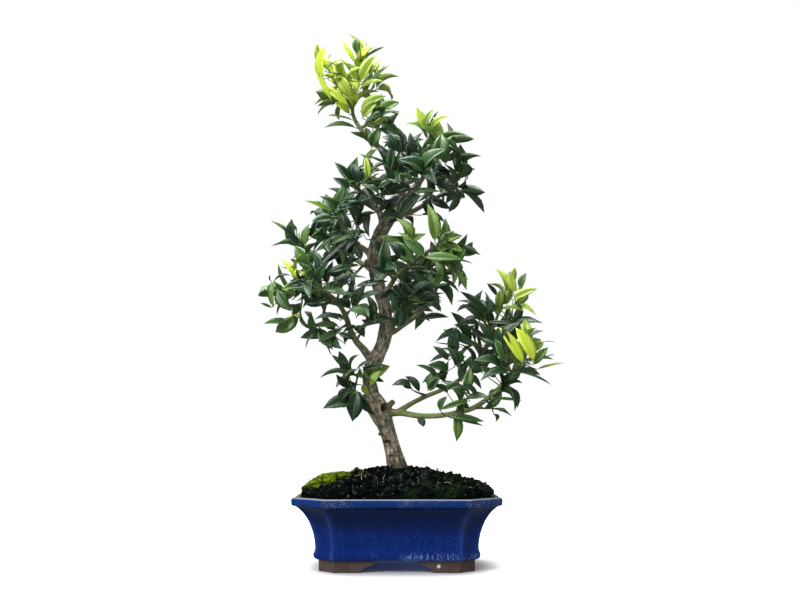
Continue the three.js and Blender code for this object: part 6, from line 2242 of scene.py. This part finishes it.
@dataclass(frozen=True)
class Soil:
    """The heaped growing mix, with its crumbs, chips, straws and root threads."""

    pot: Pot
    edge_inset: float = 8.7
    edge_height: float = 67.0
    crown: float = 97.0
    base: float = 77.0
    evenness: float = 1.4
    clod_height: float = 1.5
    crumb_height: float = 0.9
    rings: int = 54
    walls: tuple[tuple[float, float, float], ...] = ((30.3, 17.3, 1.6), (27.8, 40, 1.6), (18.3, 56, 1.4))
    crumb_shapes: tuple[tuple[float, float, float], ...] = (
        (1, 1, 0.8), (1.2, 0.8, 0.7), (0.9, 1.1, 1), (1.5, 0.7, 0.45), (1, 0.8, 0.9), (1.3, 1, 0.6),
    )
    coarse: Layer = Layer("coarse_crumbs", 52000.0, 2.2, 6.5, 0.86, 11)
    fine: Layer = Layer("fine_crumbs", 150000.0, 0.9, 2.4, 0.97, 12)
    chips: Layer = Layer("bark_chips", 9000.0, 1.4, 3.4, 0.98, 13)
    straws: Layer = Layer("straws", 4600.0, 6.0, 19.0, 1.5, 14)
    threads: Layer = Layer("root_threads", 4200.0, 5.0, 16.0, 1.2, 15)

    def height(self, x: float, y: float, share: float) -> float:
        """Return the heap's height at a share of the way from its crown to the wall."""
        heap = 1 - share**self.evenness
        clods = self.clod_height * math.sin(0.21 * x + 1.3) * math.sin(0.27 * y + 0.4)
        crumbs = self.crumb_height * math.sin(0.53 * x - 0.41 * y)
        return self.base + (self.crown - self.base) * heap + (clods + crumbs) * (1 - share**6)

    def top_rings(self) -> list[np.ndarray]:
        """List the rings of the heap's upper face, from the wall inwards."""
        edge = self.pot.outline(self.edge_inset, 1.0)[:, :2]
        rings = [np.c_[edge, np.full(len(edge), self.edge_height)]]
        for ring in range(1, self.rings):
            share = (1 - ring / self.rings) ** 0.9
            rings.append(np.array([(x, y, self.height(x, y, share)) for x, y in edge * share]))
        return rings

    def _heap(self) -> bpy.types.Object:
        """Build the closed heap, down to the pot's floor."""
        tops = self.top_rings()
        count = len(tops[0])
        walls = []
        for inset, height, hollow in self.walls:
            ring = self.pot.outline(inset, hollow)[:, :2]
            walls.append(np.c_[ring, np.full(count, height)])
        points = np.vstack(walls + tops)
        top_start = len(walls) * count
        rough = fractal(points, 9.0, 3) * 2.2 + fractal(points, 2.0, 2) * 0.6
        edgeways = smoothstep(np.arange(len(points)), top_start, top_start + 3 * count)
        points[:, 2] += rough * edgeways
        faces = ring_faces(len(walls) + len(tops), count)
        heap = point_faces_outwards(make_object("soil_heap", self.pot.pot_frame.to_scene(points), faces))
        cover = (np.arange(len(points)) >= top_start + count).astype(float)
        film = smoothstep(fractal(points, 16.0, 3), 0.0, 0.25) * smoothstep(points[:, 0], -20.0, 25.0)
        set_attributes(heap, cover=cover, shade=0.3 + 0.3 * fractal(points, 5.0, 2), green=film)
        return heap

    def build(self) -> bpy.types.Object:
        """Build and hand in the soil, and return its upper surface."""
        heap = self._heap()
        material = CrumbFinish().build()
        crumbs = [crumb_form(f"crumb {i}", i * 3.7, shape) for i, shape in enumerate(self.crumb_shapes)]
        crumbs = gather("crumbs", crumbs)
        chips = [crumb_form(f"chip {i}", 40 + i * 2.9, (2.2 + 0.3 * i, 0.8, 0.28)) for i in range(4)]
        chips = gather("chips", chips)
        straws = [strand_form(f"straw {i}", 0.3 * i - 0.5, 0.018 + 0.004 * i) for i in range(5)]
        straws = gather("straws", straws)
        tumbled, flat = Scatter("bits over soil", 0.0), Scatter("bits lying on soil", 0.9)
        bits = [
            scatter.over(heap, layer, forms, material)
            for scatter, layer, forms in (
                (tumbled, self.coarse, crumbs), (tumbled, self.fine, crumbs), (tumbled, self.chips, chips),
                (flat, self.straws, straws), (tumbled, self.threads, straws),
            )
        ]
        surface = bpy.data.objects.new("soil surface", heap.data.copy())
        dress(heap, material)
        hand_in(join_pieces(heap, *bits), "soil", "soil")
        return surface


@dataclass(frozen=True)
class MossFinish:
    """Living moss, bright at its tips and dark between them."""

    deep: tuple = (0.006, 0.022, 0.005)
    bright: tuple = (0.26, 0.36, 0.015)
    patch_waves: float = 130.0
    fine_waves: float = 900.0
    relief_depth: float = 0.0005
    shine: float = 0.05

    def build(self) -> bpy.types.Material:
        """Build the material."""
        shader = Shader("moss tufts")
        place = shader.place()
        patch = shader.noise(place, self.patch_waves, 3.0)
        fine = shader.noise(place, self.fine_waves, 2.0)
        shade = shader.attribute("shade")
        share = shade * 0.6 + (patch - 0.5) * 2.6 + 0.38 + (fine - 0.5) * 0.3
        colour = shader.mix(share.step(0.38, 0.95), self.deep, self.bright)
        normal = shader.bump(fine, self.relief_depth, 0.8)
        shader.finish(colour, 0.9, normal, Specular_IOR_Level=self.shine)
        return shader.material


@dataclass(frozen=True)
class Moss:
    """The bright cushion on the heap's left, and its tufts."""

    pot_frame: PotFrame
    node: str = "moss"
    tufts: Layer = Layer("moss_tufts", 620000.0, 1.8, 4.6, 1.0, 21)
    strays: Layer = Layer("moss_strays", 620000.0, 1.8, 4.6, 1.0, 21)
    cuts: int = 4
    smooth_rounds: int = 6
    shade: float = 0.1
    spread: float = 9.0
    islet: tuple[float, float, float] = (-41.0, 12.0, 13.0)

    def build(self, ground: bpy.types.Object) -> None:
        """Build and hand in the moss.

        Args:
            ground: The soil's upper surface, over which the moss thins out.
        """
        material = MossFinish().build()
        cushion = copy_object("moss_cushion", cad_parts[self.node])
        work = bmesh.new()
        work.from_mesh(cushion.data)
        bmesh.ops.remove_doubles(work, verts=work.verts, dist=1e-6)
        bmesh.ops.subdivide_edges(work, edges=work.edges, cuts=self.cuts, use_grid_fill=True)
        work.to_mesh(cushion.data)
        work.free()
        even_out(cushion, self.smooth_rounds)
        normals = normal_array(cushion)
        points = vertex_array(cushion)
        lumps = fractal(points / MM, 7.0, 3) * 2.6 * smoothstep(normals[:, 2], 0.0, 0.5)
        move_vertices(cushion, points + UP * lumps[:, None] * MM)
        shade = np.full(len(normals), self.shade)
        set_attributes(cushion, cover=smoothstep(normals[:, 2], -0.1, 0.3), shade=shade)
        forms = gather("tufts", [tuft_form(f"tuft {i}", i) for i in range(5)])
        scatter = Scatter("tufts on moss", 0.8)
        tufts = scatter.over(cushion, self.tufts, forms, material)
        strays = scatter.over(self._thinned(ground, points), self.strays, forms, material)
        dress(cushion, material)
        hand_in(join_pieces(cushion, tufts, strays), "moss", self.node)

    def _thinned(self, ground: bpy.types.Object, points: np.ndarray) -> bpy.types.Object:
        """Mark on the ground how densely stray tufts grow around the cushion's points."""
        tree = search_tree(points)
        places = vertex_array(ground)
        gaps = np.array([tree.find(place)[2] for place in places]) / MM
        left, depth, reach = self.islet
        middle = self.pot_frame.to_scene(np.array([(left, depth, 0.0)]))[0, :2]
        islet = smoothstep(np.linalg.norm(places[:, :2] - middle, axis=1) / MM, reach, 0.4 * reach)
        patches = smoothstep(fractal(places / MM, 8.0, 2), -0.3, 0.3)
        cover = np.maximum(smoothstep(gaps, self.spread, 0.0) * 0.6, islet) * patches
        set_attributes(ground, cover=cover)
        return ground


@dataclass(frozen=True)
class DrainScreens:
    """The two plastic screens over the drain holes, kept as packed."""

    nodes: tuple[str, ...] = ("drain_screen_left", "drain_screen_right")
    black: tuple = (0.012, 0.012, 0.012)
    dust: tuple = (0.05, 0.04, 0.03)
    grain_waves: float = 1500.0
    dust_waves: float = 160.0
    relief_depth: float = 0.0002

    def dress(self) -> None:
        """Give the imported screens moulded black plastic."""
        shader = Shader("moulded plastic")
        place = shader.place()
        grain = shader.noise(place, self.grain_waves, 2.0)
        dust = shader.noise(place, self.dust_waves, 3.0)
        colour = shader.mix(dust.step(0.5, 0.7) * 0.5, self.black, self.dust)
        shader.finish(colour, 0.45 + grain * 0.15, shader.bump(grain, self.relief_depth, 0.5))
        for node in self.nodes:
            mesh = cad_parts[node].data
            mesh.materials.clear()
            mesh.materials.append(shader.material)
            LOG.info("%s: dressed", node)


@dataclass(frozen=True)
class Studio:
    """White room, pale table, soft lamps and the camera that took the picture."""

    pot_frame: PotFrame
    camera_place: tuple[float, float, float] = (3.0, -1000.0, 140.0)
    camera_pitch: float = 7.2
    lens: float = 44.1
    sensor_width: float = 36.0
    clip: tuple[float, float] = (0.05, 20.0)
    target: tuple[float, float, float] = (0.0, 0.0, 250.0)
    backdrop: float = 1.0
    room: float = 0.5
    mirrored_room: float = 0.13
    table_half: float = 3.0
    table_colour: tuple = (0.9, 0.9, 0.9)
    table_glow: tuple[float, float, float] = (0.075, 0.118, 0.8)
    lamps: tuple = (
        ((-0.2, 0.0, 1.2), (1.2, 0.9), 34.0),
        ((-0.8, -1.0, 0.7), (0.6, 0.6), 13.0),
    )

    def build(self) -> None:
        """Set up table, room, lamps and camera."""
        self._table()
        self._room()
        self._lamps()
        self._camera()

    def _room(self) -> None:
        """Surround the plant with white, bright to the camera and dimmer in the glaze."""
        world = bpy.data.worlds.new("white room")
        world.use_nodes = True
        world.node_tree.nodes.clear()
        room = Graph(world.node_tree)
        seen = room.node("ShaderNodeLightPath", output="Is Camera Ray")
        mirrored = room.node("ShaderNodeLightPath", output="Is Glossy Ray")
        glow = seen * (self.backdrop - self.room) + mirrored * (self.mirrored_room - self.room) + self.room
        white = {"Color": (1.0, 1.0, 1.0, 1.0), "Strength": glow}
        room.end("ShaderNodeOutputWorld", room.node("ShaderNodeBackground", values=white), "Surface")
        bpy.context.scene.world = world
        bpy.context.scene.view_settings.view_transform = "Standard"

    def _lamps(self) -> None:
        """Hang the soft lamps and turn them to the plant."""
        target = Vector(self.pot_frame.to_scene(self.target))
        for number, (place, size, power) in enumerate(self.lamps):
            light = bpy.data.lights.new(f"lamp {number}", "AREA")
            light.shape, light.size, light.size_y, light.energy = "RECTANGLE", size[0], size[1], power
            lamp = shown(bpy.data.objects.new(f"lamp {number}", light))
            lamp.location = target + Vector(place)
            lamp.rotation_euler = (target - lamp.location).to_track_quat("-Z", "Y").to_euler()

    def _camera(self) -> None:
        """Set up the camera that took the picture."""
        data = bpy.data.cameras.new("camera")
        data.lens, data.sensor_width = self.lens, self.sensor_width
        data.clip_start, data.clip_end = self.clip
        camera = shown(bpy.data.objects.new("camera", data))
        camera.location = self.pot_frame.to_scene(self.camera_place)
        camera.rotation_euler = (math.radians(90 + self.camera_pitch), 0, 0)
        bpy.context.scene.camera = camera

    def _table(self) -> None:
        """Lay the pale table under the pot."""
        half = self.table_half
        corners = [(-half, -half, 0), (half, -half, 0), (half, half, 0), (-half, half, 0)]
        table = make_object("pale table", corners, [(0, 1, 2, 3)])
        shader = Shader("pale table")
        middle = tuple(self.pot_frame.shift * -MM)
        centred = shader.node("ShaderNodeVectorMath", {"operation": "ADD"}, {0: shader.place(), 1: middle})
        away = shader.node("ShaderNodeVectorMath", {"operation": "LENGTH"}, {0: centred}, "Value")
        near, far, strength = self.table_glow
        light = shader.mix(away.step(near, far), (0.0, 0.0, 0.0), (strength, strength, strength))
        shader.finish(self.table_colour, 0.8, Emission_Color=light, Emission_Strength=1.0)
        table.data.materials.append(shader.material)
        table.visible_glossy = False
        table.visible_diffuse = False


def main() -> None:
    """Build every part of the plant in order, and its studio."""
    logging.basicConfig(level=logging.INFO, format="%(name)s %(message)s")
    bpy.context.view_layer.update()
    pot_frame = PotFrame("pot")
    growth = Growth(pot_frame, Habit(), Filling())
    pot = Pot(pot_frame)
    pot.build()
    ground = Soil(pot).build()
    Moss(pot_frame).build(ground)
    DrainScreens().dress()
    TreeWood(growth).build()
    Foliage(growth).build()
    Studio(pot_frame).build()
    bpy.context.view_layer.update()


if __name__ == "__main__":
    main()
